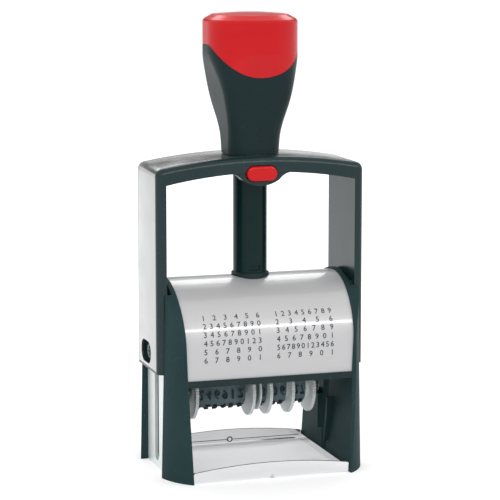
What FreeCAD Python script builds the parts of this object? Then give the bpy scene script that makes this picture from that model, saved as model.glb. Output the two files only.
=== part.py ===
import FreeCAD, Part
import math
import os
import re
import Sketcher

# Self-inking date and word stamp: a sprung bow carries a band carrier that turns over as it comes down.
# Front is -Y, up is +Z, and the origin is the centre of the base's underside. Lengths are in mm.
sizes = {
    # Bow: the yoke that the hand presses down, with a metal band let into its outside.
    "bow_wide": 80,
    "bow_deep": 29.4,
    "bow_top_thick": 5.74,
    "bow_top_radius": 215,
    "bow_corner": 3.2,
    "bow_edge_round": 2.4,
    "bow_arm": 3.6,
    "bow_foot_drop": 6.1,
    "bow_stop_room": 3.96,
    "window_radius": 182,
    "band_inset": 2.6,
    "band_thick": 0.8,
    "band_above_foot": 0.9,
    "inlay_gap": 0.03,
    "recess_wide": 13.4,
    "recess_high": 8.3,
    "recess_round": 3.9,
    "recess_deep": 2.1,
    "sleeve_wall": 1.25,
    "sleeve_high": 13.6,
    # Bulge under the bow's front lip, and the lock button in it.
    "bulge_half": 11.6,
    "bulge_drop": 4.56,
    "bulge_thick": 5.4,
    "bulge_radius": 12.4,
    "bulge_set_back": 0.6,
    "button_drop": 6.2,
    "button_wide": 11.6,
    "button_high": 5.5,
    "button_thick": 3,
    "button_proud": 1.2,
    "button_round": 0.84,
    "button_gap": 0.3,
    "lock_travel": 1,
    "tongue_wide": 3.6,
    "tongue_high": 1.4,
    "tongue_drop": 1.5,
    "tongue_gap": 0.3,
    "notch_deep": 0.8,
    # Grip and cap, which are cut from one lofted form.
    "grip_above_bore": 4.2,
    "grip_straight": 11.6,
    "grip_half": 17.1,
    "grip_corner": 15,
    "cap_bevel_in": 3.4,
    "cap_bevel_down": 2.4,
    "cap_dome_high": 0.8,
    "cap_edge_in": 0.5,
    "cap_edge_up": 0.8,
    "cap_tongue_drop": 20.2,
    "cap_tongue_radius": 18.2,
    "cap_joint_gap": 0.05,
    "bore_spare": 2,
    "bore_gap": 0.33,
    "rod_radius": 2,
    "rod_seat": 3,
    "piston_gap": 0.37,
    "piston_thick": 3,
    # Column that the bow slides on, with the return spring inside it.
    "column_radius": 6.37,
    "column_wall": 1.2,
    "column_above_bow": 7.9,
    "column_floor": 3,
    "column_fit": 0.08,
    "collar_wall": 0.68,
    "collar_proud": 1.1,
    "collar_chamfer": 0.3,
    "spring_inset": 1.5,
    "spring_wire": 1,
    "spring_spare": 0.27,
    "screw_radius": 1.95,
    "screw_head_radius": 3.4,
    "screw_head_high": 1.9,
    # How far the bow goes down; the carrier turns over once on the way.
    "press_travel": 35,
    # Hood: the metal cover sheet between the side panels.
    "hood_above_bridge": 7.5,
    "cover_high": 34.3,
    "shoulder_radius": 18,
    "shoulder_below_top": 22.3,
    "cover_thick": 0.8,
    "cover_hole_gap": 0.15,
    "lip_high": 2.4,
    "lip_thick": 1.6,
    "lip_proud": 0.7,
    "rail_high": 2.4,
    "rail_thick": 1.5,
    "rail_lift": 0.3,
    # Side panels: each has a front and a back leg with a channel between them for the bow's arm.
    "foot_deep": 57.6,
    "leg_flare": 3.4,
    "panel_inset": 1.1,
    "panel_foot_wall": 4.5,
    "panel_lean_in": 2.8,
    "panel_lean_out": 1.7,
    "panel_rim": 0.7,
    "panel_bend": 24,
    "panel_nose": 0.6,
    "channel_gap": 0.3,
    "rib_high": 1.3,
    "rib_thick": 1.5,
    "rib_long": 14.8,
    "rib_spread": 5.4,
    # Side plates and the bridge of the metal frame.
    "arm_gap": 0.4,
    "plate_thick": 1.2,
    "plate_side_gap": 0.2,
    "plate_above_bridge": 4.2,
    "plate_corner": 7,
    "slot_fit": 0.07,
    "slot_low": 2.5,
    "slot_above_axle": 4.3,
    "wall_slot_gap": 0.4,
    "bridge_above_tray": 2.8,
    "bridge_thick": 2,
    "bridge_deep": 24,
    "bridge_tab": 10,
    "bridge_gap": 0.2,
    "rivet_radius": 1.2,
    "rivet_drop": 7.8,
    "rivet_spread": 18,
    # Base frame: a polished ring whose front and back walls are arched.
    "base_gap": 0.1,
    "base_inset": 1.4,
    "base_end_high": 3.8,
    "base_mid_high": 6.1,
    "base_wall": 1,
    "base_side_high": 2.6,
    "base_dip_margin": 0.5,
    "base_ledge_high": 1,
    "base_ledge_deep": 0.8,
    "base_notch_half": 1,
    "base_notch_high": 1.7,
    "mark_radius": 1.1,
    "mark_wall": 0.4,
    "mark_proud": 0.3,
    "mark_z": 2.3,
    # Band carrier: it hangs on the main axle and holds the wheels below and the printing face above.
    "axle_y": 2,
    "axle_radius": 2.68,
    "axle_fit": 0.06,
    "axle_shoulder_gap": 0.15,
    "axle_tip_radius": 1.65,
    "axle_tip_under": 0.9,
    "axle_flange_rim": 0.72,
    "axle_flange_thick": 1,
    "axle_groove": 0.5,
    "follower_side_gap": 0.3,
    "follower_radius": 1.3,
    "follower_end_gap": 0.4,
    "follower_gap": 0.35,
    "clip_rim": 1.05,
    "clip_thick": 0.6,
    "clip_gap": 0.3,
    "carrier_side_room": 5.7,
    "carrier_arm": 2.2,
    "carrier_waist": 6.8,
    "carrier_bar_thick": 1.6,
    "carrier_bar_high": 4.8,
    "carrier_foot_radius": 3.4,
    "carrier_top_margin": 1.24,
    "anvil_half": 3.1,
    "anvil_high": 4.8,
    "type_reach": 9.7,
    "strip_thick": 0.7,
    "character_high": 0.8,
    "character_long": 3.8,
    "character_inset": 0.25,
    # Setting wheels, each a toothed disc with a drum that its band goes round.
    "wheel_drop": 17,
    "wheel_axle_radius": 1.5,
    "wheel_head_rim": 0.9,
    "wheel_head_thick": 0.8,
    "wheel_fit": 0.06,
    "wheel_radius": 10,
    "wheel_thick": 1.2,
    "wheel_tooth_deep": 0.4,
    "drum_radius": 5,
    "drum_gap": 0.3,
    "separator_radius": 8.1,
    "separator_thick": 0.5,
    # Ink pad in its drawer, which faces down over the type and draws out at the back.
    "pad_type_gap": 0.35,
    "pad_past_carrier": 0.7,
    "pad_long": 23.2,
    "pad_gap": 0.2,
    "pad_stands_out": 1.25,
    "tray_high": 6,
    "tray_wall": 1.5,
    "runner_wide": 2.2,
    "runner_lift": 1.2,
    "runner_thick": 1.2,
    "runner_gap": 0.3,
    "guide_ledge": 1.3,
    "neck_inset": 7.6,
    "neck_high": 3,
    "pull_thick": 1.8,
    "pull_drop": 1.5,
    "pull_rise": 0.3,
    "pull_gap": 0.3,
    "pull_past_runner": 0.4,
    "ridge_half": 12,
    "ridge_high": 2,
    "ridge_proud": 3,
    "ridge_root": 3.6,
    # How far a cutting shape runs past what it cuts.
    "past": 10,
}

# Sizes and places that follow from the ones above.
worked_out = {
    # Across: from the bow's arms inward to the plates, the panels, the carrier and the pad.
    "channel_floor": "=bow_wide / 2 - bow_arm - arm_gap - plate_thick",
    "foot_outer": "=bow_wide / 2 - panel_inset",
    "foot_inner": "=channel_floor - panel_foot_wall",
    "panel_inner_top": "=foot_inner + panel_lean_in",
    "base_half": "=foot_inner - base_gap",
    "axle_tip_end": "=bow_wide / 2 - axle_tip_under",
    "follower_end": "=foot_inner - follower_end_gap",
    "carrier_half": "=foot_inner - carrier_side_room",
    "pad_half": "=carrier_half + pad_past_carrier",
    "pull_half": "=pad_half + pad_gap + tray_wall + runner_wide + pull_past_runner",
    "neck_half": "=pull_half - neck_inset",
    # From front to back.
    "hood_deep": "=foot_deep - 2 * leg_flare",
    "base_deep": "=foot_deep - 2 * base_inset",
    "channel_deep": "=bow_deep + 2 * channel_gap",
    "plate_deep": "=channel_deep - 2 * plate_side_gap",
    "band_wide": "=bow_deep - 2 * band_inset",
    # Upward: the type comes down to the ground, and meets the pad at the top of the travel.
    "axle_z": "=press_travel + type_reach",
    "slot_high": "=axle_z + slot_above_axle",
    "rib_top": "=axle_z - press_travel + rib_long",
    "bow_foot": "=axle_z - bow_foot_drop",
    "pad_face": "=axle_z + type_reach + pad_type_gap",
    "tray_low": "=pad_face + pad_stands_out",
    "tray_top": "=tray_low + tray_high",
    "runner_low": "=tray_low + runner_lift",
    "pull_low": "=tray_low - pull_drop",
    "pull_top": "=tray_top + pull_rise",
    "bridge_z": "=tray_top + bridge_above_tray",
    "rivet_z": "=bridge_z - rivet_drop",
    "plate_top": "=bridge_z + plate_above_bridge",
    "hood_top": "=bridge_z + hood_above_bridge",
    "shoulder_z": "=hood_top - shoulder_below_top",
    "hood_foot": "=hood_top - cover_high",
    "collar_top": "=hood_top + collar_proud",
    "window_top": "=collar_top + press_travel + bow_stop_room",
    "bow_top": "=window_top + bow_top_thick",
    "bulge_bottom": "=window_top - bulge_drop",
    "button_z": "=bow_top - button_drop",
    "column_top": "=bow_top + column_above_bow",
    "bore_top": "=column_top + press_travel + bore_spare",
    "grip_top": "=bore_top + grip_above_bore",
    "cap_tongue_low": "=grip_top - cap_tongue_drop",
    # Round fits: the sleeve, collar and piston on the column, and what turns on each axle.
    "sleeve_radius": "=column_radius + column_fit + sleeve_wall",
    "collar_radius": "=column_radius + collar_wall",
    "piston_radius": "=column_radius - column_wall - piston_gap",
    "spring_radius": "=piston_radius - spring_inset",
    "slot_wide": "=2 * (axle_radius + slot_fit)",
    "axle_flange_radius": "=axle_radius + axle_flange_rim",
    "follower_reach": "=axle_flange_radius + follower_radius + follower_side_gap",
    "clip_radius": "=axle_tip_radius + clip_rim",
    "wheel_head_radius": "=wheel_axle_radius + wheel_head_rim",
}

counts = {
    "spring_turns": 10,
    "wheel_teeth": 60,
    "character_rows": 12,
}

# Places across the carrier, as shares of its half width: a wheel's disc, and its band's two edges.
wheel_shares = {
    "word": (-0.93, -0.89, -0.122),
    "tens": (-0.024, 0.012, 0.077),
    "units": (0.252, 0.134, 0.215),
    "month": (0.606, 0.297, 0.54),
    "year": (0.943, 0.65, 0.85),
}
separator_share = 0.106

doc = FreeCAD.newDocument("date_stamp")
sheet = doc.addObject("Spreadsheet::Sheet", "sizes")
table = {**sizes, **worked_out, **counts}
for row, (alias, entry) in enumerate(table.items(), 1):
    sheet.set(f"A{row}", alias.replace("_", " "))
    sheet.setAlias(f"B{row}", alias)
for row, entry in enumerate(table.values(), 1):
    sheet.set(f"B{row}", str(entry))
doc.recompute()
nodes = []


def bound(text):
    """The expression with each named size read from the sheet."""
    return re.sub(r"[a-z][a-z_]*", lambda word: "sizes." + word[0] if word[0] in table else word[0], text)


def value(text):
    return float(sheet.evalExpression(bound(text)))


def add(kind, label):
    item = doc.addObject(kind, label)
    item.Label = label
    return item


def node(item):
    """Marks an object as one of the sub-parts that are written out."""
    nodes.append(item)
    return item


def place(item, **spots):
    for axis, text in spots.items():
        item.setExpression(f"Placement.Base.{axis}", bound(text))


def box(label, x, y, z):
    item = add("Part::Box", label)
    for side, (low, high) in zip(("Length", "Width", "Height"), (x, y, z)):
        item.setExpression(side, bound(f"({high}) - ({low})"))
    place(item, x=x[0], y=y[0], z=z[0])
    return item


turns = {
    "x": FreeCAD.Rotation(FreeCAD.Vector(0, 1, 0), 90),
    "y": FreeCAD.Rotation(FreeCAD.Vector(1, 0, 0), -90),
    "z": FreeCAD.Rotation(),
}


def rod(label, axis, radius, ends, **centre):
    """A cylinder along an axis from ends[0] to ends[1]; centre gives its place on the other two axes."""
    item = add("Part::Cylinder", label)
    item.Placement = FreeCAD.Placement(FreeCAD.Vector(), turns[axis])
    item.setExpression("Radius", bound(radius))
    item.setExpression("Height", bound(f"({ends[1]}) - ({ends[0]})"))
    place(item, **{axis: ends[0]}, **centre)
    return item


def draw(sketch, path):
    """Draws a closed outline. A point (u, v) starts a line, and (u, v, radius, turn) starts an arc of
    under a half circle, whose turn is 1 anticlockwise and -1 clockwise."""
    spots = [FreeCAD.Vector(value(point[0]), value(point[1]), 0) for point in path]
    joins = []
    for start, end, point in zip(spots, spots[1:] + spots[:1], path):
        if len(point) == 2:
            edge = sketch.addGeometry(Part.LineSegment(start, end), False)
            joins.append((edge, 1, 2))
            continue
        radius, turn = value(point[2]), point[3]
        chord = end - start
        rise = radius - math.sqrt(radius**2 - (chord.Length / 2) ** 2)
        side = FreeCAD.Vector(chord.y, -chord.x, 0).normalize() * rise * turn
        middle = (start + end) / 2 + side
        first, last = (start, end) if turn == 1 else (end, start)
        edge = sketch.addGeometry(Part.Arc(first, middle, last), False)
        joins.append((edge, 1, 2) if turn == 1 else (edge, 2, 1))
        mark = sketch.addConstraint(Sketcher.Constraint("Radius", edge, radius))
        sketch.renameConstraint(mark, f"radius{edge}")
        sketch.setExpression(f"Constraints.radius{edge}", bound(point[2]))
    for here, after, spot, point in zip(joins, joins[1:] + joins[:1], spots, path):
        sketch.addConstraint(Sketcher.Constraint("Coincident", here[0], here[2], after[0], after[1]))
        for letter, way, length, text in zip("uv", ("DistanceX", "DistanceY"), (spot.x, spot.y), point):
            mark = sketch.addConstraint(Sketcher.Constraint(way, -1, 1, here[0], here[1], length))
            sketch.renameConstraint(mark, f"{letter}{here[0]}")
            sketch.setExpression(f"Constraints.{letter}{here[0]}", bound(text))


def sketch_on(body, plane, path, offset):
    """A sketch on one of the body's origin planes, moved along that plane's normal."""
    sketch = body.newObject("Sketcher::SketchObject", body.Label + "_outline")
    support = [item for item in body.Origin.OriginFeatures if item.Role == plane + "_Plane"][0]
    sketch.AttachmentSupport = [(support, "")]
    sketch.MapMode = "FlatFace"
    sketch.setExpression("AttachmentOffset.Base.z", bound(offset))
    draw(sketch, path)
    return sketch


def prism(label, plane, ends, path):
    """An outline on XY, XZ or YZ, padded from ends[0] to ends[1] along the third axis."""
    body = add("PartDesign::Body", label)
    start = f"-({ends[1]})" if plane == "XZ" else ends[0]
    sketch = sketch_on(body, plane, path, start)
    pad = body.newObject("PartDesign::Pad", label + "_pad")
    pad.Profile = sketch
    pad.setExpression("Length", bound(f"({ends[1]}) - ({ends[0]})"))
    doc.recompute()
    return body


def turned(label, axis, path, **centre):
    """A profile of (radius, place along the axis) points, turned a full circle about the axis."""
    body = add("PartDesign::Body", label)
    sketch = sketch_on(body, "XZ", path, "0")
    spin = body.newObject("PartDesign::Revolution", label + "_turned")
    spin.Profile = sketch
    spin.ReferenceAxis = (sketch, ["V_Axis"])
    spin.Angle = 360
    body.Placement = FreeCAD.Placement(FreeCAD.Vector(), turns[axis])
    place(body, **centre)
    doc.recompute()
    return body


def soften(body, radius, picked):
    """Rounds the edges of a body that picked(edge) chooses."""
    chosen = [f"Edge{number}" for number, edge in enumerate(body.Shape.Edges, 1) if picked(edge)]
    before = body.Tip
    rounding = body.newObject("PartDesign::Fillet", body.Label + "_fillet")
    rounding.Base = (before, chosen)
    rounding.setExpression("Radius", bound(radius))
    body.Tip = rounding
    doc.recompute()
    return body


def loft(label, sections, ruled):
    """A solid through outlines at given heights, each (height, outline)."""
    sketches = []
    for number, (z, path) in enumerate(sections):
        sketch = add("Sketcher::SketchObject", f"{label}_section_{number}")
        draw(sketch, path)
        place(sketch, z=z)
        sketches.append(sketch)
    doc.recompute()
    item = add("Part::Loft", label)
    item.Sections = sketches
    item.Solid = True
    item.Ruled = ruled
    doc.recompute()
    return item


def fuse(label, *items):
    item = add("Part::MultiFuse", label)
    item.Shapes = list(items)
    doc.recompute()
    return item


def common(label, *items):
    item = add("Part::MultiCommon", label)
    item.Shapes = list(items)
    doc.recompute()
    return item


def cut(label, base, *tools):
    tool = tools[0] if len(tools) == 1 else fuse(label + "_tools", *tools)
    item = add("Part::Cut", label)
    item.Base = base
    item.Tool = tool
    doc.recompute()
    return item


def mirrored(label, source):
    item = add("Part::Mirroring", label)
    item.Source = source
    item.Normal = (1, 0, 0)
    doc.recompute()
    return item


def computed(label, shape):
    item = add("Part::Feature", label)
    item.Shape = shape
    return item


def rounded_rectangle(u, v, half_u, half_v, corner):
    """The outline of a rectangle about (u, v) with round corners, anticlockwise."""
    path = []
    for a, b in ((1, -1), (1, 1), (-1, 1), (-1, -1)):
        side = (f"{u} + {a} * ({half_u})", f"{v} + {b} * ({half_v} - {corner})")
        end = (f"{u} + {a} * ({half_u} - {corner})", f"{v} + {b} * ({half_v})")
        first, last = (side, end) if a * b == 1 else (end, side)
        path += [(*first, corner, 1), last]
    return path


# Outline of the hood, from its half depth, top and shoulders, and of the panel, which ends in legs.
shoulder_in = "(hood_deep / 2 - shoulder_radius)"
shoulder_up = "(hood_top - shoulder_radius - shoulder_z)"
shoulder_drop = f"(({shoulder_in}^2 - {shoulder_up}^2) / (2 * {shoulder_up}))"
panel_top = "(hood_top + panel_rim)"


def hood_outline(grow, low_end):
    """Outline of the hood grown by a length; low_end gives its lowest points from the right side."""
    reach = f"((shoulder_radius + {grow}) / ({shoulder_up} + {shoulder_drop}))"
    meet = (f"{shoulder_in} * (1 + {reach})", f"shoulder_z + {shoulder_drop} * {reach}")
    crown = f"{shoulder_up} + shoulder_radius + {shoulder_drop} + {grow}"
    side = f"hood_deep / 2 + {grow}"
    arcs = [
        (side, "shoulder_z", f"shoulder_radius + {grow}", 1),
        (*meet, crown, 1),
        (f"-({meet[0]})", meet[1], f"shoulder_radius + {grow}", 1),
        (f"-({side})", "shoulder_z"),
    ]
    right = [(u, v) for u, v in low_end]
    left = [(f"-({u})", v) for u, v in reversed(low_end)]
    return right + arcs + left


def inner_face(z):
    """Where the panel's inner face stands at a height."""
    return f"(foot_inner + (panel_inner_top - foot_inner) * ({z}) / hood_top)"


def between_panels(label, low, high):
    """The space between the two panels' inner faces, from low to high."""
    right = inner_face(high), inner_face(low)
    path = [(right[1], low), (right[0], high), (f"-{right[0]}", high), (f"-{right[1]}", low)]
    return prism(label, "XZ", ("-foot_deep", "foot_deep"), path)


def slot_outline(half, low):
    """The upright slot for the axle, with a round lower end."""
    top = "slot_high"
    return [
        (f"axle_y - {half}", f"{low} + {half}", half, 1),
        ("axle_y", low, half, 1),
        (f"axle_y + {half}", f"{low} + {half}"),
        (f"axle_y + {half}", top),
        (f"axle_y - {half}", top),
    ]


def carrier_turn(angle):
    """How far the bow has come down when the carrier has turned by an angle."""
    return value("press_travel") * angle / math.pi


def follower_path(angle):
    """Place of the carrier's follower pin, as (y, z), when the carrier has turned by an angle."""
    reach = value("follower_reach")
    y = value("axle_y") - reach * math.sin(angle)
    z = value("axle_z") - carrier_turn(angle) + reach * math.cos(angle)
    return y, z


def cam_rib():
    """The rib that the follower pin runs down behind: its inner side keeps off the pin's path."""
    start_share, steps = 0.56, 7
    clear = value("follower_radius + follower_gap")
    sides = [[], []]
    for step in range(steps):
        angle = math.pi * (start_share + (1 - start_share) * step / (steps - 1))
        y, z = follower_path(angle)
        ahead = follower_path(angle + math.pi / steps / steps)
        run = FreeCAD.Vector(0, ahead[0] - y, ahead[1] - z).normalize()
        out = FreeCAD.Vector(0, run.z, -run.y)
        for side, off in zip(sides, (clear, clear + value("rib_thick"))):
            side.append(FreeCAD.Vector(value("foot_inner - rib_high"), y, z) + out * off)
    curves = []
    for side in sides:
        curve = Part.BSplineCurve()
        curve.interpolate(side)
        curves.append(curve.toShape())
    ends = [Part.makeLine(sides[0][end], sides[1][end]) for end in (0, -1)]
    face = Part.Face(Part.Wire([curves[0], ends[1], curves[1], ends[0]]))
    return face.extrude(FreeCAD.Vector(value("channel_floor - foot_inner + rib_high"), 0, 0))


def panel_plan(lean):
    """The panel seen from above: its outside bends from the channel's edge to a narrow nose."""
    outer, nose = f"(foot_outer - {lean})", "(foot_inner + panel_nose)"
    return [
        ("foot_inner - past", "-foot_deep / 2"),
        (nose, "-foot_deep / 2", "panel_bend", 1),
        (outer, "-channel_deep / 2"),
        (outer, "channel_deep / 2", "panel_bend", 1),
        (nose, "foot_deep / 2"),
        ("foot_inner - past", "foot_deep / 2"),
    ]


def side_panel():
    """The right panel; the left one is its mirror image."""
    low_end = [("foot_deep / 2", "0"), ("hood_deep / 2 + panel_rim", "hood_foot")]
    outline = hood_outline("panel_rim", low_end)
    profile = prism("panel_profile", "YZ", ("foot_inner - past", "foot_outer + past"), outline)
    top = f"({panel_top} + past)"
    front = [
        (inner_face("0"), "0"),
        ("foot_outer + past", "0"),
        ("foot_outer + past", top),
        (inner_face(top), top),
    ]
    face = prism("panel_front", "XZ", ("-foot_deep", "foot_deep"), front)
    plans = [("0", panel_plan("0")), (top, panel_plan(f"(panel_lean_out * {top} / hood_top)"))]
    blank = common("panel_blank", profile, face, loft("panel_outside", plans, True))
    channel = box(
        "panel_channel",
        ("channel_floor", "foot_outer + past"),
        ("-channel_deep / 2", "channel_deep / 2"),
        ("-past", top),
    )
    slot = prism(
        "panel_slot",
        "YZ",
        ("foot_inner - past", "foot_outer"),
        slot_outline("(slot_wide / 2 + wall_slot_gap)", "(slot_low - wall_slot_gap)"),
    )
    notch = box(
        "panel_notch",
        ("foot_inner - past", "foot_outer"),
        ("-bridge_deep / 2 - bridge_gap", "bridge_deep / 2 + bridge_gap"),
        ("bridge_z", "bridge_z + bridge_thick + bridge_gap"),
    )
    wall = cut("panel_wall", blank, channel, slot, notch)
    spread = "axle_y + slot_wide / 2 + wall_slot_gap"
    wedge_path = [
        (spread, "axle_z - press_travel"),
        (f"{spread} + rib_thick", "axle_z - press_travel"),
        (f"{spread} + rib_spread", "rib_top - rib_thick"),
        (f"{spread} + rib_spread", "rib_top"),
        (spread, "rib_top - rib_thick"),
    ]
    wedge = prism("panel_wedge", "YZ", ("foot_inner - rib_high", "channel_floor"), wedge_path)
    rib_blank = computed("panel_rib_blank", cam_rib())
    depth_path = [
        ("foot_inner - rib_high", "base_mid_high"),
        ("channel_floor", "base_mid_high"),
        ("channel_floor", "axle_z"),
        ("foot_inner - rib_high", "axle_z"),
    ]
    depth = prism("panel_rib_depth", "XZ", ("-foot_deep", "foot_deep"), depth_path)
    ribs = common("panel_ribs", fuse("panel_rib_pair", rib_blank, wedge), depth)
    slotted = cut("panel_rib_trimmed", ribs, slot)
    rivets = [
        rod(f"panel_rivet_hole_{side}", "x", "rivet_radius", ("foot_inner - past", "foot_outer"),
            y=f"{side} * rivet_spread / 2", z="rivet_z")
        for side in (-1, 1)
    ]
    return cut("side_panel_right", fuse("panel_ribbed", wall, slotted), *rivets)


def side_plate():
    """The right plate, with the axle's slot and the slot that takes the bridge's tab."""
    half, low = "plate_deep / 2", "0"
    path = [
        (half, low),
        (half, "plate_top - plate_corner"),
        (f"{half} - plate_corner", "plate_top"),
        (f"-{half} + plate_corner", "plate_top"),
        (f"-{half}", "plate_top - plate_corner"),
        (f"-{half}", low),
    ]
    outside = "channel_floor + plate_thick"
    blank = prism("plate_blank", "YZ", ("channel_floor", outside), path)
    through = ("channel_floor - past", f"{outside} + past")
    slot = prism("plate_slot", "YZ", through, slot_outline("(slot_wide / 2)", "slot_low"))
    tab = box(
        "plate_tab_slot",
        through,
        ("-bridge_tab / 2", "bridge_tab / 2"),
        ("bridge_z", "bridge_z + bridge_thick"),
    )
    rivets = [
        rod(f"plate_rivet_hole_{side}", "x", "rivet_radius", through,
            y=f"{side} * rivet_spread / 2", z="rivet_z")
        for side in (-1, 1)
    ]
    return cut("side_plate_right", blank, slot, tab, *rivets)


def panel_rivets():
    """Four flush rivets that hold the panels to the plates."""
    head = inner_face("rivet_z + rivet_radius")
    end = "(channel_floor + plate_thick)"
    spans = {"right": (head, end), "left": (f"-{end}", f"-{head}")}
    pins = [
        rod(f"rivet_{name}_{side}", "x", "rivet_radius", span, y=f"{side} * rivet_spread / 2", z="rivet_z")
        for name, span in spans.items()
        for side in (-1, 1)
    ]
    group = add("Part::Compound", "panel_rivets")
    group.Links = pins
    return group


def frame_bridge():
    """The flat bar that joins the side plates and carries the column."""
    bar = box(
        "bridge_bar",
        ("-channel_floor", "channel_floor"),
        ("-bridge_deep / 2", "bridge_deep / 2"),
        ("bridge_z", "bridge_z + bridge_thick"),
    )
    tabs = box(
        "bridge_tabs",
        ("-channel_floor - plate_thick", "channel_floor + plate_thick"),
        ("-bridge_tab / 2", "bridge_tab / 2"),
        ("bridge_z", "bridge_z + bridge_thick"),
    )
    hole = rod("bridge_hole", "z", "screw_radius", ("bridge_z - past", "bridge_z + past"))
    return cut("frame_bridge", fuse("bridge_plate", bar, tabs), hole)


def base_frame():
    """Polished ring round the printing window, with a pointer notch in front and a mark at the back."""
    rise = "(base_mid_high - base_end_high)"
    radius = f"(base_half^2 + {rise}^2) / (2 * {rise})"
    path = [
        ("-base_half", "0"),
        ("-base_notch_half", "0"),
        ("0", "base_notch_high"),
        ("base_notch_half", "0"),
        ("base_half", "0"),
        ("base_half", "base_end_high", radius, 1),
        ("-base_half", "base_end_high"),
    ]
    blank = prism("base_blank", "XZ", ("-base_deep / 2", "base_deep / 2"), path)
    above = value("base_notch_high")

    def runs_back(edge):
        return abs(edge.tangentAt(edge.FirstParameter).y) > 0.9 and edge.CenterOfMass.z > above

    soften(blank, "base_wall", runs_back)
    window = box(
        "base_window",
        ("-base_half + base_wall", "base_half - base_wall"),
        ("-base_deep / 2 + base_wall", "base_deep / 2 - base_wall"),
        ("-past", "past"),
    )
    dip = box(
        "base_dip",
        ("-foot_outer", "foot_outer"),
        ("-base_deep / 2 + base_wall + base_dip_margin", "base_deep / 2 - base_wall - base_dip_margin"),
        ("base_side_high", "past"),
    )
    ring = cut("base_ring", blank, window, dip)
    ledge = box(
        "base_ledge",
        ("-base_half + base_wall", "base_half - base_wall"),
        ("base_deep / 2 - base_wall - base_ledge_deep", "base_deep / 2 - base_wall"),
        ("0", "base_ledge_high"),
    )
    back = "base_deep / 2 - base_wall"
    mark = rod("base_mark", "y", "mark_radius", (f"{back} - mark_proud", back), z="mark_z")
    eye = rod("base_mark_eye", "y", "mark_radius - mark_wall", (f"{back} - mark_proud", back), z="mark_z")
    return fuse("base_frame", ring, ledge, cut("base_mark_ring", mark, eye))


def cover():
    """The bent sheet over the mechanism, open below, with a hole for the column and one for the drawer."""
    low = [("hood_deep / 2", "hood_foot")]
    outer = prism("cover_outer", "YZ", ("-foot_outer", "foot_outer"), hood_outline("0", low))
    inside = hood_outline("(-cover_thick)", [("hood_deep / 2 - cover_thick", "hood_foot - past")])
    inner = prism("cover_inner", "YZ", ("-foot_outer - past", "foot_outer + past"), inside)
    hole = rod("cover_hole", "z", "collar_radius + cover_hole_gap", ("shoulder_z", "hood_top + past"))
    drawer = box(
        "cover_drawer_hole",
        ("-pull_half - pull_gap", "pull_half + pull_gap"),
        ("pad_long / 2", "hood_deep"),
        ("pull_low - pull_gap", "pull_top + pull_gap"),
    )
    shell = cut("cover_shell", outer, inner, hole, drawer)
    return common("cover", shell, between_panels("cover_ends", "hood_foot - past", "hood_top + past"))


def hood_bars():
    """The lip under the cover's front edge, and the rail inside its back edge."""
    lip = box(
        "lip_bar",
        ("-foot_outer", "foot_outer"),
        ("-hood_deep / 2 - lip_proud", "-hood_deep / 2 - lip_proud + lip_thick"),
        ("hood_foot - lip_high", "hood_foot"),
    )
    rail = box(
        "rail_bar",
        ("-foot_outer", "foot_outer"),
        ("hood_deep / 2 - cover_thick - rail_thick", "hood_deep / 2 - cover_thick"),
        ("hood_foot + rail_lift", "hood_foot + rail_lift + rail_high"),
    )
    space = between_panels("bar_ends", "hood_foot - past", "hood_foot + past")
    return common("front_lip", lip, space), common("rear_rail", rail, space)


def column():
    """The tube that the bow slides on, with a closed foot and a lock notch at each end of the travel."""
    floor = "bridge_z + bridge_thick"
    inside = "column_radius - column_wall"
    profile = [
        ("screw_radius", floor),
        ("column_radius", floor),
        ("column_radius", "column_top"),
        (inside, "column_top"),
        (inside, f"{floor} + column_floor"),
        ("screw_radius", f"{floor} + column_floor"),
    ]
    tube = turned("column_blank", "z", profile)
    tongue_z = "(button_z - tongue_drop)"
    notches = [
        box(
            f"column_notch_{name}",
            ("-tongue_wide / 2 - tongue_gap", "tongue_wide / 2 + tongue_gap"),
            ("-column_radius - past", "-column_radius + notch_deep"),
            (f"{tongue_z} - tongue_high / 2 - tongue_gap - {drop}",
             f"{tongue_z} + tongue_high / 2 + tongue_gap - {drop}"),
        )
        for name, drop in (("up", "0"), ("down", "press_travel"))
    ]
    return cut("column_tube", tube, *notches)


def column_fittings():
    """The collar where the column comes out of the cover, and the screw under its foot."""
    floor = "bridge_z + bridge_thick"
    inside = "column_radius + inlay_gap"
    collar = turned("column_collar", "z", [
        (inside, floor),
        ("collar_radius", floor),
        ("collar_radius", "collar_top - collar_chamfer"),
        ("collar_radius - collar_chamfer", "collar_top"),
        (inside, "collar_top"),
    ])
    screw = turned("column_screw", "z", [
        ("0", "bridge_z - screw_head_high"),
        ("screw_head_radius - screw_head_high / 2", "bridge_z - screw_head_high"),
        ("screw_head_radius", "bridge_z - screw_head_high / 2"),
        ("screw_head_radius", "bridge_z"),
        ("screw_radius - inlay_gap", "bridge_z"),
        ("screw_radius - inlay_gap", f"{floor} + column_floor"),
        ("0", f"{floor} + column_floor"),
    ])
    return collar, screw


def biarc(start, end, start_way, end_way):
    """Two arcs that leave start along start_way, meet smoothly and reach end along end_way."""
    chord = end - start
    ways = start_way + end_way
    square = 2 * (1 - start_way.dot(end_way))
    cross = chord.dot(ways)
    reach = (-cross + math.sqrt(cross**2 + square * chord.dot(chord))) / square
    before, after = start + start_way * reach, end - end_way * reach
    middle = (before + after) / 2
    arcs = []
    for a, corner, b in ((start, before, middle), (middle, after, end)):
        half_chord = (b - a).Length / 2
        foot = (a + b) / 2
        up = corner - foot
        half_angle = math.atan2(up.Length, half_chord)
        rise = half_chord * math.tan(half_angle / 2)
        arcs.append(Part.Arc(a, foot + up.normalize() * rise, b).toShape())
    return arcs


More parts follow.
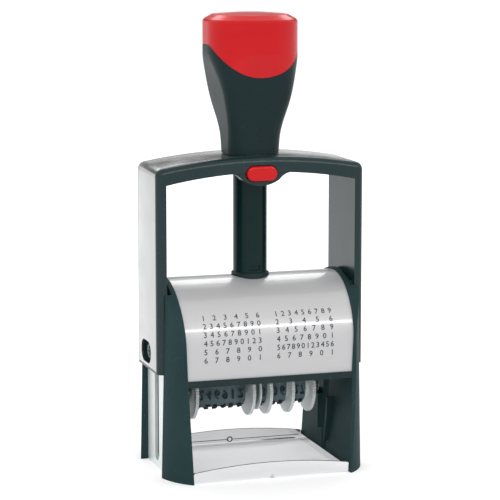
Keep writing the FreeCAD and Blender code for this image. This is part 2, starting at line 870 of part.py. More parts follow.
def return_spring():
    """The coil between the column's foot and the piston, as one unbroken wire."""
    low = value("bridge_z + bridge_thick + column_floor + spring_wire / 2")
    high = value(f"{piston_low} - spring_wire / 2")
    radius, wire, coils = value("spring_radius"), value("spring_wire"), value("spring_turns")
    steps = int(coils * 4)
    climb = (high - low) / (coils * math.tau)

    def spot(step):
        angle = step * math.pi / 2
        at = FreeCAD.Vector(radius * math.cos(angle), radius * math.sin(angle), low + climb * angle)
        way = FreeCAD.Vector(-radius * math.sin(angle), radius * math.cos(angle), climb).normalize()
        return at, way

    edges = []
    for step in range(steps):
        (start, start_way), (end, end_way) = spot(step), spot(step + 1)
        edges += biarc(start, end, start_way, end_way)
    path = Part.Wire(edges)
    start, way = spot(0)
    ring = Part.Wire([Part.Circle(start, way, wire / 2).toShape()])
    tube = path.makePipeShell([ring], True, False)
    print(f"spring: least gap to itself {climb * math.tau - wire:.2f}")
    return computed("return_spring", tube)


# The inner side of the bow's arms, and the piston's height over the spring's closed length.
arm_inside = "(bow_wide / 2 - bow_arm)"
spring_solid = "spring_turns * (spring_wire + spring_spare)"
piston_low = f"(bridge_z + bridge_thick + column_floor + press_travel + {spring_solid})"


def arch(top, radius, x):
    """Height of an arch at a place across it."""
    return f"({top} - {radius} + sqrt({radius}^2 - ({x})^2))"


def bow_outline(inset, low):
    """The bow's outer outline, drawn in by a length, from the arms' lower ends."""
    half = f"(bow_wide / 2 - {inset})"
    radius, corner = f"(bow_top_radius - {inset})", f"(bow_corner - {inset})"
    base = "(bow_top - bow_top_radius)"
    across = "(bow_wide / 2 - bow_corner)"
    rise = f"sqrt((bow_top_radius - bow_corner)^2 - {across}^2)"
    out = f"{radius} / (bow_top_radius - bow_corner)"
    meet = (f"{across} * {out}", f"{base} + {rise} * {out}")
    return [
        (half, low),
        (half, f"{base} + {rise}", corner, 1),
        (*meet, radius, 1),
        (f"-({meet[0]})", meet[1], corner, 1),
        (f"-{half}", f"{base} + {rise}"),
        (f"-{half}", low),
    ]


def recess(label):
    """The round-cornered recess round the axle's end, cut in from outside on both arms."""
    path = rounded_rectangle("axle_y", "axle_z", "(recess_wide / 2)", "(recess_high / 2)", "recess_round")
    right = prism(label + "_right", "YZ", ("bow_wide / 2 - recess_deep", "bow_wide / 2 + past"), path)
    return right, mirrored(label + "_left", right)


def bow():
    """The bow frame, and the metal band let into the outside of it."""
    half = "bow_deep / 2"
    blank = prism("bow_blank", "XZ", (f"-{half}", half), bow_outline("0", "bow_foot"))
    depth, near, foot = value(half), value("inlay_gap"), value("axle_z")

    def on_rim(edge):
        return abs(abs(edge.CenterOfMass.y) - depth) < near and edge.CenterOfMass.z > foot

    soften(blank, "bow_edge_round", on_rim)
    top = arch("window_top", "window_radius", arm_inside)
    window_path = [
        (arm_inside, "bow_foot - past"),
        (arm_inside, top, "window_radius", 1),
        (f"-{arm_inside}", top),
        (f"-{arm_inside}", "bow_foot - past"),
    ]
    window = prism("bow_window", "XZ", (f"-{half} - past", f"{half} + past"), window_path)
    out_share, up_share = 0.62, 0.38
    knee = (f"(bulge_half * {out_share})", f"bulge_bottom + bulge_drop * {up_share}")
    root = arch("window_top", "window_radius", "bulge_half")
    bulge_path = [
        ("bulge_half", "window_top + band_thick"),
        ("-bulge_half", "window_top + band_thick"),
        ("-bulge_half", root, "bulge_half / 2", -1),
        (f"-{knee[0]}", knee[1], "bulge_radius", 1),
        (*knee, "bulge_half / 2", -1),
        ("bulge_half", root),
    ]
    bulge = prism("bow_bulge", "XZ", (f"-{half} + bulge_set_back", f"-{half} + bulge_thick"), bulge_path)
    yoke = fuse("bow_yoke", cut("bow_arch", blank, window), bulge)

    def hoop(label, outside, inside, half_wide, low):
        outer = prism(f"{label}_outer", "XZ", (f"-{half_wide}", half_wide), bow_outline(outside, low))
        hollow = bow_outline(inside, "bow_foot - past")
        return cut(label, outer, prism(f"{label}_inner", "XZ", ("-band_wide", "band_wide"), hollow))

    ring = hoop("band_ring", "0", "band_thick", "(band_wide / 2)", "bow_foot + band_above_foot")
    groove = hoop("bow_groove", "(-inlay_gap)", "(band_thick + inlay_gap)", "(band_wide / 2 + inlay_gap)",
                  "bow_foot + band_above_foot - inlay_gap")
    sleeve_hole = rod("bow_sleeve_hole", "z", "sleeve_radius + inlay_gap",
                      ("bulge_bottom - past", "bow_top + past"))
    axle_hole = rod("bow_axle_hole", "x", "axle_tip_radius + axle_fit", ("-bow_wide", "bow_wide"),
                    y="axle_y", z="axle_z")
    wide, high = "(button_wide / 2 + button_gap)", "(button_high / 2 + button_gap)"
    oval = rounded_rectangle("0", "button_z", wide, high, f"({high} - inlay_gap)")
    button_hole = prism(
        "bow_button_hole", "XZ",
        (f"-{half} - past", f"-{half} - button_proud + button_thick + lock_travel + button_gap"), oval,
    )
    tongue_hole = box(
        "bow_tongue_hole",
        ("-tongue_wide / 2 - tongue_gap", "tongue_wide / 2 + tongue_gap"),
        (f"-{half}", "0"),
        ("button_z - tongue_drop - tongue_high / 2 - tongue_gap",
         "button_z - tongue_drop + tongue_high / 2 + tongue_gap"),
    )
    frame = cut("bow_frame", yoke, groove, sleeve_hole, axle_hole, button_hole, tongue_hole,
                *recess("bow_recess"))
    cover_hole = rod("band_hole", "z", "sleeve_radius + inlay_gap", ("bow_top - past", "bow_top + past"))
    band = cut("bow_band", ring, cover_hole, *recess("band_recess"))
    return frame, band


def axle_clip():
    """The flat ring on the axle's tip that keeps the right arm on it."""
    floor = "(bow_wide / 2 - recess_deep + clip_gap)"
    return turned("axle_clip_right", "x", [
        ("axle_tip_radius", floor),
        ("clip_radius", floor),
        ("clip_radius", f"{floor} + clip_thick"),
        ("axle_tip_radius", f"{floor} + clip_thick"),
    ], y="axle_y", z="axle_z")


def guide_sleeve():
    """The sleeve in the bow that runs on the column and holds the grip."""
    base = arch("window_top", "window_radius", "sleeve_radius")
    inside = "column_radius + column_fit"
    blank = turned("sleeve_blank", "z", [
        (inside, base),
        ("sleeve_radius", base),
        ("sleeve_radius", f"{base} + sleeve_high"),
        (inside, f"{base} + sleeve_high"),
    ])
    window = box(
        "sleeve_window",
        ("-tongue_wide / 2 - tongue_gap", "tongue_wide / 2 + tongue_gap"),
        ("-sleeve_radius - past", "0"),
        ("button_z - past", "button_z - tongue_drop + tongue_high / 2 + tongue_gap"),
    )
    return cut("guide_sleeve", blank, window)


# Sections of the grip from its foot to where it runs straight: height, half side and corner radius,
# as shares of the whole height and of the half side and the corner radius at the top.
grip_shares = [
    (0, 0.573, 0.433),
    (0.05, 0.579, 0.42),
    (0.21, 0.596, 0.367),
    (0.357, 0.649, 0.3),
    (0.504, 0.725, 0.267),
    (0.637, 0.789, 0.307),
    (0.797, 0.883, 0.56),
    (0.92, 0.965, 0.85),
    (1, 1, 1),
]


def handle():
    """The grip and the cap on it, whose lower edge hangs in a round tongue in front and behind."""
    foot = "(bow_top + inlay_gap)"
    straight = "(grip_top - grip_straight)"
    flat_half, flat_corner = "(grip_half - cap_bevel_in)", "(grip_corner - cap_bevel_in)"
    flat, crown = "(grip_top + cap_bevel_down)", "(grip_top + cap_bevel_down + cap_dome_high)"

    def section(z, half, corner):
        return z, rounded_rectangle("0", "0", half, half, corner)

    shank = loft("grip_shank", [
        section(f"{foot} + ({straight} - {foot}) * {z}", f"grip_half * {half}", f"grip_corner * {corner}")
        for z, half, corner in grip_shares
    ], False)
    head = loft("grip_head", [section(z, "grip_half", "grip_corner") for z in (straight, "grip_top")], True)
    bevel = loft("grip_bevel", [
        section("grip_top", "grip_half", "grip_corner"),
        section("grip_top + cap_edge_up", "(grip_half - cap_edge_in)", "(grip_corner - cap_edge_in)"),
        section(flat, flat_half, flat_corner),
    ], True)
    lid = loft("grip_lid", [section(z, flat_half, flat_corner) for z in (flat, crown)], True)
    dome_radius = f"(({flat_half}^2 + cap_dome_high^2) / (2 * cap_dome_high))"
    dome = add("Part::Sphere", "grip_dome")
    dome.setExpression("Radius", bound(dome_radius))
    place(dome, z=f"{crown} - {dome_radius}")
    form = fuse("grip_form", shank, head, bevel, common("grip_crown", lid, dome))
    bore = rod("grip_bore", "z", "column_radius + bore_gap", ("bow_top - past", "bore_top"))
    sleeve_end = arch("window_top", "window_radius", "sleeve_radius") + " + sleeve_high + bore_gap"
    socket = rod("grip_socket", "z", "sleeve_radius + inlay_gap", ("bow_top - past", sleeve_end))
    rod_hole = rod("grip_rod_hole", "z", "rod_radius", ("bore_top - past", "bore_top + rod_seat"))
    hollow = cut("grip_hollow", form, bore, socket, rod_hole)

    def above(label, drop):
        radius, centre = f"(cap_tongue_radius + {drop})", "(cap_tongue_low + cap_tongue_radius)"
        path = [
            (f"-{radius}", centre, radius, 1),
            ("0", f"cap_tongue_low - {drop}", radius, 1),
            (radius, centre),
            (radius, f"{crown} + past"),
            (f"-{radius}", f"{crown} + past"),
        ]
        return prism(label, "XZ", ("-bow_deep", "bow_deep"), path)

    grip = cut("handle_grip", hollow, above("grip_cutter", "cap_joint_gap"))
    return grip, common("handle_cap", hollow, above("cap_keeper", "0"))


def plunger_rod():
    """The rod from the cap down into the column, with the piston that bears on the spring."""
    return turned("plunger_rod", "z", [
        ("0", piston_low),
        ("piston_radius", piston_low),
        ("piston_radius", f"{piston_low} + piston_thick"),
        ("rod_radius", f"{piston_low} + piston_thick"),
        ("rod_radius", "bore_top + rod_seat"),
        ("0", "bore_top + rod_seat"),
    ])


def lock():
    """The oval button and the tongue behind it that enters the column's notch."""
    front = "(-bow_deep / 2 - button_proud)"
    high = "(button_high / 2)"
    oval = rounded_rectangle("0", "button_z", "(button_wide / 2)", high, f"({high} - inlay_gap)")
    button = prism("lock_button", "XZ", (front, f"{front} + button_thick"), oval)
    face, near = value(front), value("inlay_gap")
    soften(button, "button_round", lambda edge: abs(edge.CenterOfMass.y - face) < near)
    tongue = box(
        "lock_tongue",
        ("-tongue_wide / 2", "tongue_wide / 2"),
        (f"{front} + button_thick", "-column_radius - tongue_gap"),
        ("button_z - tongue_drop - tongue_high / 2", "button_z - tongue_drop + tongue_high / 2"),
    )
    return button, tongue


wheel_z = "(axle_z - wheel_drop)"
arm_outside = "(carrier_half + carrier_arm)"


def carrier():
    """Two side arms and two cross bars; the arms' outline narrows to the wheels' axle."""
    waist, foot = "carrier_waist", "carrier_foot_radius"
    top, top_half = "axle_z + type_reach - strip_thick - character_high", "anvil_half + carrier_top_margin"
    path = [
        (f"axle_y - {foot}", wheel_z, foot, 1),
        ("axle_y", f"{wheel_z} - {foot}", foot, 1),
        (f"axle_y + {foot}", wheel_z),
        (f"axle_y + {waist}", "axle_z"),
        (f"axle_y + {waist} + carrier_bar_thick / 2", "axle_z + carrier_bar_high"),
        (f"axle_y + ({top_half})", top),
        (f"axle_y - ({top_half})", top),
        (f"axle_y - {waist} - carrier_bar_thick / 2", "axle_z + carrier_bar_high"),
        (f"axle_y - {waist}", "axle_z"),
    ]
    right = prism("carrier_arm_right", "YZ", ("carrier_half", arm_outside), path)
    bars = [
        box(
            f"carrier_bar_{name}",
            ("-carrier_half", "carrier_half"),
            (f"axle_y + {low}", f"axle_y + {high}"),
            ("axle_z", "axle_z + carrier_bar_high"),
        )
        for name, low, high in (
            ("front", f"-{waist} - carrier_bar_thick / 2", f"-{waist} + carrier_bar_thick / 2"),
            ("back", f"{waist} - carrier_bar_thick / 2", f"{waist} + carrier_bar_thick / 2"),
        )
    ]
    blank = fuse("carrier_blank", right, mirrored("carrier_arm_left", right), *bars)
    hole = rod("carrier_hole", "x", "wheel_axle_radius", ("-bow_wide", "bow_wide"), y="axle_y", z=wheel_z)
    return cut("carrier_frame", blank, hole)


def print_anvil():
    """The bar inside the bands that backs the row of type."""
    top = "(axle_z + type_reach - strip_thick - character_high)"
    return box(
        "print_anvil",
        ("-carrier_half", "carrier_half"),
        ("axle_y - anvil_half", "axle_y + anvil_half"),
        (f"{top} - anvil_high", top),
    )


def axle_pin():
    """The right stub axle: flange, thick part in the slots, thin tip in the bow's arm."""
    pin = turned("axle_pin_blank", "x", [
        ("0", arm_outside),
        ("axle_flange_radius", arm_outside),
        ("axle_flange_radius", f"{arm_outside} + axle_flange_thick"),
        ("axle_radius", f"{arm_outside} + axle_flange_thick"),
        ("axle_radius", f"{arm_inside} - axle_shoulder_gap"),
        ("axle_tip_radius", f"{arm_inside} - axle_shoulder_gap"),
        ("axle_tip_radius", "axle_tip_end"),
        ("0", "axle_tip_end"),
    ], y="axle_y", z="axle_z")
    groove = box(
        "axle_pin_groove",
        ("axle_tip_end - axle_groove", "bow_wide"),
        ("-bow_deep", "bow_deep"),
        ("axle_z - axle_groove / 2", "axle_z + axle_groove / 2"),
    )
    return cut("axle_pin_right", pin, groove)


def follower_pins():
    """The two pins on the carrier that run behind the panels' ribs."""
    right = rod("follower_right", "x", "follower_radius", (arm_outside, "follower_end"),
                y="axle_y", z="axle_z + follower_reach")
    group = add("Part::Compound", "follower_pins")
    group.Links = [right, mirrored("follower_left", right)]
    return group


def wheel_axle():
    """The shaft of the setting wheels, headed at both ends."""
    head = f"{arm_outside} + wheel_head_thick"
    return turned("wheel_axle", "x", [
        ("0", f"-({head})"),
        ("wheel_head_radius", f"-({head})"),
        ("wheel_head_radius", f"-{arm_outside}"),
        ("wheel_axle_radius", f"-{arm_outside}"),
        ("wheel_axle_radius", arm_outside),
        ("wheel_head_radius", arm_outside),
        ("wheel_head_radius", head),
        ("0", head),
    ], y="axle_y", z=wheel_z)


def toothed_disc(x, outer, deep, teeth, thick):
    """A disc of a given thickness with a fine toothed rim, about the wheels' axle."""
    y, z = value("axle_y"), value(wheel_z)
    points = []
    for step in range(2 * teeth + 1):
        angle = math.pi * step / teeth
        radius = outer - deep * (step % 2)
        across, up = radius * math.cos(angle), radius * math.sin(angle)
        points.append(FreeCAD.Vector(x - thick / 2, y + across, z + up))
    return Part.Face(Part.makePolygon(points)).extrude(FreeCAD.Vector(thick, 0, 0))


def on_carrier(share):
    """A place across the carrier."""
    return f"(carrier_half * ({share}))"


def setting_wheel(name):
    """A wheel with its drum, which reaches from the disc to the band's far edge."""
    disc_x, low, high = (value(on_carrier(share)) for share in wheel_shares[name])
    radius, deep, thick = value("wheel_radius"), value("wheel_tooth_deep"), value("wheel_thick")
    disc = toothed_disc(disc_x, radius, deep, int(value("wheel_teeth")), thick)
    ends = (disc_x, high) if disc_x < low else (low, disc_x)
    centre = FreeCAD.Vector(ends[0], value("axle_y"), value(wheel_z))
    way = FreeCAD.Vector(1, 0, 0)
    drum = Part.makeCylinder(value("drum_radius"), ends[1] - ends[0], centre, way)
    through, start = ends[1] - ends[0] + thick * 2, centre - way * thick
    bore = Part.makeCylinder(value("wheel_axle_radius + wheel_fit"), through, start, way)
    return computed(f"{name}_wheel", disc.fuse(drum).cut(bore))


def separator_disc():
    """The fixed disc between the two day bands."""
    low, high = (f"{on_carrier(separator_share)} {sign} separator_thick / 2" for sign in "-+")
    return turned("separator_disc", "x", [
        ("wheel_axle_radius", low),
        ("separator_radius", low),
        ("separator_radius", high),
        ("wheel_axle_radius", high),
    ], y="axle_y", z=wheel_z)


def strip_outline(grow):
    """The loop of a band: flat over the anvil, tangent to the drum, round below."""
    radius = f"(drum_radius + drum_gap + {grow})"
    half = f"(anvil_half + {grow})"
    top = f"(axle_z + type_reach - character_high - strip_thick + {grow})"
    rise = f"({top} - {wheel_z})"
    square = f"({half}^2 + {rise}^2)"
    tangent = f"sqrt({square} - {radius}^2)"
    side = f"({radius} * ({radius} * {half} + {rise} * {tangent}) / {square})"
    up = f"({radius} * ({radius} * {rise} - {half} * {tangent}) / {square})"
    return [
        (f"axle_y + {half}", top),
        (f"axle_y - {half}", top),
        (f"axle_y - {side}", f"{wheel_z} + {up}", radius, 1),
        ("axle_y", f"{wheel_z} - {radius}", radius, 1),
        (f"axle_y + {side}", f"{wheel_z} + {up}"),
    ]


def character_blocks(name):
    """Raised blocks, evenly spaced round the band, one of them on the printing face."""
    outline = [FreeCAD.Vector(0, value(point[0]), value(point[1])) for point in strip_outline("strip_thick")]
    right_top, left_top, left_low, bottom, right_low = outline
    centre = FreeCAD.Vector(0, value("axle_y"), value(wheel_z))
    radius = (bottom - centre).Length
    sweep = math.pi + 2 * math.asin((right_low.z - centre.z) / radius)
    flat, run, bend = (right_top - left_top).Length, (left_top - left_low).Length, radius * sweep
    total = flat + 2 * run + bend
    rows = int(value("character_rows"))
    long, high, sunk = value("character_long"), value("character_high"), value("strip_thick") / 2
    inset = value("character_inset")
    low, high_x = (value(on_carrier(share)) for share in wheel_shares[name][1:])
    low, width = low + inset, high_x - low - 2 * inset
    blocks = []
    for row in range(rows):
        along = (total * row / rows + flat / 2) % total
        if along < flat:
            at, way = right_top + (left_top - right_top) * (along / flat), left_top - right_top
        elif along < flat + run:
            share = (along - flat) / run
            at, way = left_top + (left_low - left_top) * share, left_low - left_top
        elif along < flat + run + bend:
            angle = math.pi - math.asin((left_low.z - centre.z) / radius) + (along - flat - run) / radius
            out = FreeCAD.Vector(0, math.cos(angle), math.sin(angle))
            at, way = centre + out * radius, FreeCAD.Vector(0, -out.z, out.y)
        else:
            share = (along - flat - run - bend) / run
            at, way = right_low + (right_top - right_low) * share, right_top - right_low
        way = way.normalize()
        out = FreeCAD.Vector(0, way.z, -way.y)
        corner = at - way * (long / 2) - out * sunk + FreeCAD.Vector(low, 0, 0)
        sides = (FreeCAD.Vector(width, 0, 0), way * long, out * (sunk + high))
        corners = [corner, corner + sides[0], corner + sides[0] + sides[1], corner + sides[1], corner]
        blocks.append(Part.Face(Part.makePolygon(corners)).extrude(sides[2]))
    return computed(f"{name}_blocks", Part.makeCompound(blocks))


def type_band(name):
    """An endless rubber band with raised characters."""
    ends = tuple(on_carrier(share) for share in wheel_shares[name][1:])
    loop = cut(
        f"{name}_loop",
        prism(f"{name}_outer", "YZ", ends, strip_outline("strip_thick")),
        prism(f"{name}_inner", "YZ", (f"{ends[0]} - past", f"{ends[1]} + past"), strip_outline("0")),
    )
    return fuse(f"{name}_band", loop, character_blocks(name))


pad_low = "(axle_y - pad_long / 2)"
pad_high = "(axle_y + pad_long / 2)"
tray_half = "(pad_half + pad_gap + tray_wall)"


def pad_drawer():
    """The tray with its runners and neck, the felt pad that faces down in it, and the pull at the back."""
    low, high = f"({pad_low} - pad_gap - tray_wall)", f"({pad_high} + pad_gap + tray_wall)"
    shell = box("tray_block", (f"-{tray_half}", tray_half), (low, high), ("tray_low", "tray_top"))
    hollow = box(
        "tray_hollow",
        (f"-{tray_half} + tray_wall", f"{tray_half} - tray_wall"),
        (f"{low} + tray_wall", f"{high} - tray_wall"),
        ("tray_low - past", "tray_top - tray_wall"),
    )
    runners = box(
        "tray_runners",
        (f"-{tray_half} - runner_wide", f"{tray_half} + runner_wide"),
        (low, high),
        ("runner_low", "runner_low + runner_thick"),
    )
    neck_top = "tray_top - tray_wall / 2"
    outer_pull = hood_outline("0", [("hood_deep / 2", "hood_foot")])
    inner_pull = hood_outline("(-pull_thick)", [("hood_deep / 2 - pull_thick", "hood_foot - past")])
    skin = cut(
        "pull_skin",
        prism("pull_outer", "YZ", ("-pull_half", "pull_half"), outer_pull),
        prism("pull_inner", "YZ", ("-pull_half - past", "pull_half + past"), inner_pull),
    )
    window = box("pull_window", ("-foot_outer", "foot_outer"), (high, "hood_deep"), ("pull_low", "pull_top"))
    middle = "(pull_low + pull_top) / 2"
    ridge = box(
        "pull_ridge",
        ("-ridge_half", "ridge_half"),
        ("hood_deep / 2 - ridge_root", "hood_deep / 2 + ridge_proud - pull_thick"),
        (f"{middle} - ridge_high / 2", f"{middle} + ridge_high / 2"),
    )
    pull_face = fuse("pull_face", common("pull_plate", skin, window), ridge)
    neck_ends = ("-neck_half", "neck_half")
    neck_space = prism("neck_space", "YZ", neck_ends, inner_pull)
    neck_bar = box("neck_bar", neck_ends, (high, "hood_deep"), (f"{neck_top} - neck_high", neck_top))
    neck = common("tray_neck", neck_space, neck_bar)
    shelf = cut("tray_shell", fuse("tray_body", shell, runners), hollow)
    tray = fuse("pad_tray", shelf, neck, cut("tray_pull", pull_face, neck_space))
    pad = box("ink_pad", ("-pad_half", "pad_half"), (pad_low, pad_high), ("pad_face", "tray_top - tray_wall"))
    return tray, pad


def pad_guide():
    """The right channel that the tray's runner slides in, against the panel's inner face."""
    low, high = f"({pad_low} - pad_gap - tray_wall)", f"({pad_high} + pad_gap + tray_wall)"
    bottom = "(runner_low - runner_gap - guide_ledge)"
    top = "(runner_low + runner_thick + runner_gap + guide_ledge)"
    block = box("guide_block", (f"{tray_half} + runner_gap", "foot_outer"), (low, high), (bottom, top))
    groove = box(
        "guide_groove",
        (tray_half, f"{tray_half} + runner_wide + runner_gap"),
        (f"{low} - past", f"{high} + past"),
        ("runner_low - runner_gap", "runner_low + runner_thick + runner_gap"),
    )
    ends = between_panels("guide_ends", "hood_foot", "hood_top")
    return common("pad_guide_right", cut("guide_channel", block, groove), ends)


node(base_frame())
right_panel = node(side_panel())
node(mirrored("side_panel_left", right_panel))
right_plate = node(side_plate())
node(mirrored("side_plate_left", right_plate))
node(panel_rivets())
node(frame_bridge())
node(cover())
for item in hood_bars():
    node(item)
node(column())
for item in column_fittings():
    node(item)
node(return_spring())
right_guide = node(pad_guide())
node(mirrored("pad_guide_left", right_guide))

for item in bow():
    node(item)
node(guide_sleeve())
right_clip = node(axle_clip())
node(mirrored("axle_clip_left", right_clip))
for item in handle():
    node(item)
node(plunger_rod())
for item in lock():
    node(item)

node(carrier())
node(print_anvil())
right_pin = node(axle_pin())
node(mirrored("axle_pin_left", right_pin))
node(follower_pins())
node(wheel_axle())
node(separator_disc())
for name in ("word", "tens", "units", "month", "year"):
    node(setting_wheel(name))
    node(type_band(name))
for item in pad_drawer():
    node(item)

doc.recompute()
for item in doc.Objects:
    if "Invalid" in item.State or "Error" in item.State:
        raise RuntimeError(f"{item.Label}: {item.State}")
for item in nodes:
    if item.Shape.isNull() or not item.Shape.isValid() or not item.Shape.Solids:
        raise RuntimeError(f"{item.Label} has no valid solid")
os.makedirs("parts", exist_ok=True)
for item in nodes:
    item.Shape.exportStep(f"parts/{item.Label}.step")
print(f"{len(nodes)} sub-parts written")
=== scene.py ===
import math

import bmesh
import bpy
from mathutils import Matrix, Vector


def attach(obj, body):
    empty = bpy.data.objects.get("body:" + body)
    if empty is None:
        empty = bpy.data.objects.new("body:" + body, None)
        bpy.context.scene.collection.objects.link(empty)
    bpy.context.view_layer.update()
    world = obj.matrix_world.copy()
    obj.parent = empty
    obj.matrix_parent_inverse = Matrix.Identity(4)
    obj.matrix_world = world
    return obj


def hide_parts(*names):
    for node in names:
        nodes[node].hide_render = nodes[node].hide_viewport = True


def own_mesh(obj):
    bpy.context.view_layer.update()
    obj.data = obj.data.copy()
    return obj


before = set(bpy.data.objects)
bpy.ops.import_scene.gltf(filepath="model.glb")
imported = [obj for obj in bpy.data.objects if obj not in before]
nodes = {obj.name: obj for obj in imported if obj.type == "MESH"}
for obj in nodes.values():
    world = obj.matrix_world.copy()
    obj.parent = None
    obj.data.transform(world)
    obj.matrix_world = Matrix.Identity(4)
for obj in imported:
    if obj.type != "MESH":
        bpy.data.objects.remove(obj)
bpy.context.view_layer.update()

mm = 0.001
screenCurve = {"knee": 0.04045, "slope": 12.92, "shift": 0.055, "power": 2.4}


def colour(code):
    # a colour as it is seen on screen, turned into the linear values that shaders take
    linear = []
    for start in (0, 2, 4):
        part = int(code[start:start + 2], 16) / 255
        if part < screenCurve["knee"]:
            linear.append(part / screenCurve["slope"])
        else:
            linear.append(((part + screenCurve["shift"]) / (1 + screenCurve["shift"])) ** screenCurve["power"])
    return linear + [1]


def newGroup(name, inputs, outputs):
    # an empty shader node group with its sockets, given as {name: (kind, value)}
    group = bpy.data.node_groups.new(name, "ShaderNodeTree")
    for socketName, (kind, value) in inputs.items():
        socket = group.interface.new_socket(socketName, in_out="INPUT", socket_type=kind)
        socket.default_value = value
    for socketName in outputs:
        kind = "NodeSocketColor" if socketName == "Colour" else "NodeSocketFloat"
        group.interface.new_socket(socketName, in_out="OUTPUT", socket_type=kind)
    start = group.nodes.new("NodeGroupInput")
    end = group.nodes.new("NodeGroupOutput")
    return group, start.outputs, end.inputs


def addNode(tree, kind, links=None, **settings):
    # a node with its settings; links holds what goes into its sockets, a value or another socket
    node = tree.nodes.new(kind)
    for key, value in settings.items():
        setattr(node, key, value)
    for key, value in (links or {}).items():
        if isinstance(value, bpy.types.NodeSocket):
            tree.links.new(value, node.inputs[key])
        else:
            node.inputs[key].default_value = value
    return node


floatKind, colourKind, vectorKind = "NodeSocketFloat", "NodeSocketColor", "NodeSocketVector"


grainShape = {"detail": 2, "patchDetail": 3, "patchLow": 0.3, "patchHigh": 0.7}


def makeGrain():
    # fine moulded or painted texture: a height, and a mask of slow patches
    group, given, result = newGroup("surfaceGrain", {
        "Fine scale": (floatKind, 3000), "Patch scale": (floatKind, 60), "Patch contrast": (floatKind, 1),
    }, ["Height", "Patch"])
    place = addNode(group, "ShaderNodeTexCoord").outputs["Object"]
    fine = addNode(group, "ShaderNodeTexNoise", {
        "Vector": place, "Scale": given["Fine scale"], "Detail": grainShape["detail"],
    })
    patch = addNode(group, "ShaderNodeTexNoise", {
        "Vector": place, "Scale": given["Patch scale"], "Detail": grainShape["patchDetail"],
    })
    stretch = addNode(group, "ShaderNodeMapRange", {
        "Value": patch.outputs["Fac"], "From Min": grainShape["patchLow"], "From Max": grainShape["patchHigh"],
        "To Max": given["Patch contrast"],
    })
    group.links.new(fine.outputs["Fac"], result["Height"])
    group.links.new(stretch.outputs["Result"], result["Patch"])
    return group


brushShape = {"detail": 4, "roughness": 0.7, "low": 0.25, "high": 0.75, "blurScale": 90, "blurDetail": 2}


def makeBrushing():
    # fine parallel lines that run where the stretch is small, for brushed, drawn and turned metal
    group, given, result = newGroup("brushedLines", {
        "Stretch": (vectorKind, (20, 4000, 20)), "Contrast": (floatKind, 1),
    }, ["Lines", "Blur"])
    place = addNode(group, "ShaderNodeTexCoord").outputs["Object"]
    run = addNode(group, "ShaderNodeVectorMath", {0: place, 1: given["Stretch"]}, operation="MULTIPLY")
    lines = addNode(group, "ShaderNodeTexNoise", {
        "Vector": run.outputs[0], "Scale": 1, "Detail": brushShape["detail"], "Roughness": brushShape["roughness"],
    })
    slow = addNode(group, "ShaderNodeTexNoise", {
        "Vector": place, "Scale": brushShape["blurScale"], "Detail": brushShape["blurDetail"],
    })
    spread = addNode(group, "ShaderNodeMapRange", {
        "Value": lines.outputs["Fac"], "From Min": brushShape["low"], "From Max": brushShape["high"],
        "To Max": given["Contrast"],
    })
    group.links.new(spread.outputs["Result"], result["Lines"])
    group.links.new(slow.outputs["Fac"], result["Blur"])
    return group


wearShape = {
    "bendScale": 35, "bendReach": 0.012, "scratchWide": 0.012,
    "patchScale": 55, "patchLow": 0.56, "patchHigh": 0.68, "speckLow": 0.72, "speckHigh": 0.76,
}


def makeWear():
    # scattered marks of handling: sparse fine scratches and small specks
    group, given, result = newGroup("handlingMarks", {
        "Scratch scale": (floatKind, 120), "Speck scale": (floatKind, 900), "Amount": (floatKind, 0.5),
    }, ["Marks"])
    place = addNode(group, "ShaderNodeTexCoord").outputs["Object"]
    bend = addNode(group, "ShaderNodeTexNoise", {"Vector": place, "Scale": wearShape["bendScale"], "Detail": 2})
    push = addNode(group, "ShaderNodeVectorMath", {0: bend.outputs["Color"], "Scale": wearShape["bendReach"]},
                   operation="SCALE")
    bent = addNode(group, "ShaderNodeVectorMath", {0: place, 1: push.outputs[0]}, operation="ADD")
    cells = addNode(group, "ShaderNodeTexVoronoi", {"Vector": bent.outputs[0], "Scale": given["Scratch scale"]},
                    feature="DISTANCE_TO_EDGE")
    thin = addNode(group, "ShaderNodeMapRange", {
        "Value": cells.outputs["Distance"], "From Min": 0.0, "From Max": wearShape["scratchWide"],
        "To Min": 1, "To Max": 0,
    })
    where = addNode(group, "ShaderNodeTexNoise", {"Vector": place, "Scale": wearShape["patchScale"], "Detail": 2})
    sparse = addNode(group, "ShaderNodeMapRange", {
        "Value": where.outputs["Fac"], "From Min": wearShape["patchLow"], "From Max": wearShape["patchHigh"],
    })
    scratch = addNode(group, "ShaderNodeMath", {0: thin.outputs[0], 1: sparse.outputs[0]}, operation="MULTIPLY")
    specks = addNode(group, "ShaderNodeTexNoise", {"Vector": place, "Scale": given["Speck scale"], "Detail": 1})
    dots = addNode(group, "ShaderNodeMapRange", {
        "Value": specks.outputs["Fac"], "From Min": wearShape["speckLow"], "From Max": wearShape["speckHigh"],
    })
    both = addNode(group, "ShaderNodeMath", {0: scratch.outputs[0], 1: dots.outputs[0]}, operation="MAXIMUM")
    scaled = addNode(group, "ShaderNodeMath", {0: both.outputs[0], 1: given["Amount"]}, operation="MULTIPLY")
    group.links.new(scaled.outputs[0], result["Marks"])
    return group


surfaceGrain, brushedLines, handlingMarks = makeGrain(), makeBrushing(), makeWear()


def startMaterial(name, look):
    # a material with its Principled shader; look holds constants for the shader's own sockets
    material = bpy.data.materials.new(name)
    material.use_nodes = True
    tree = material.node_tree
    shader = tree.nodes["Principled BSDF"]
    for key, value in look.items():
        shader.inputs[key].default_value = value
    return material, tree, shader


def useGroup(tree, group, values=None):
    node = addNode(tree, "ShaderNodeGroup", node_tree=group)
    for key, value in (values or {}).items():
        node.inputs[key].default_value = value
    return node.outputs


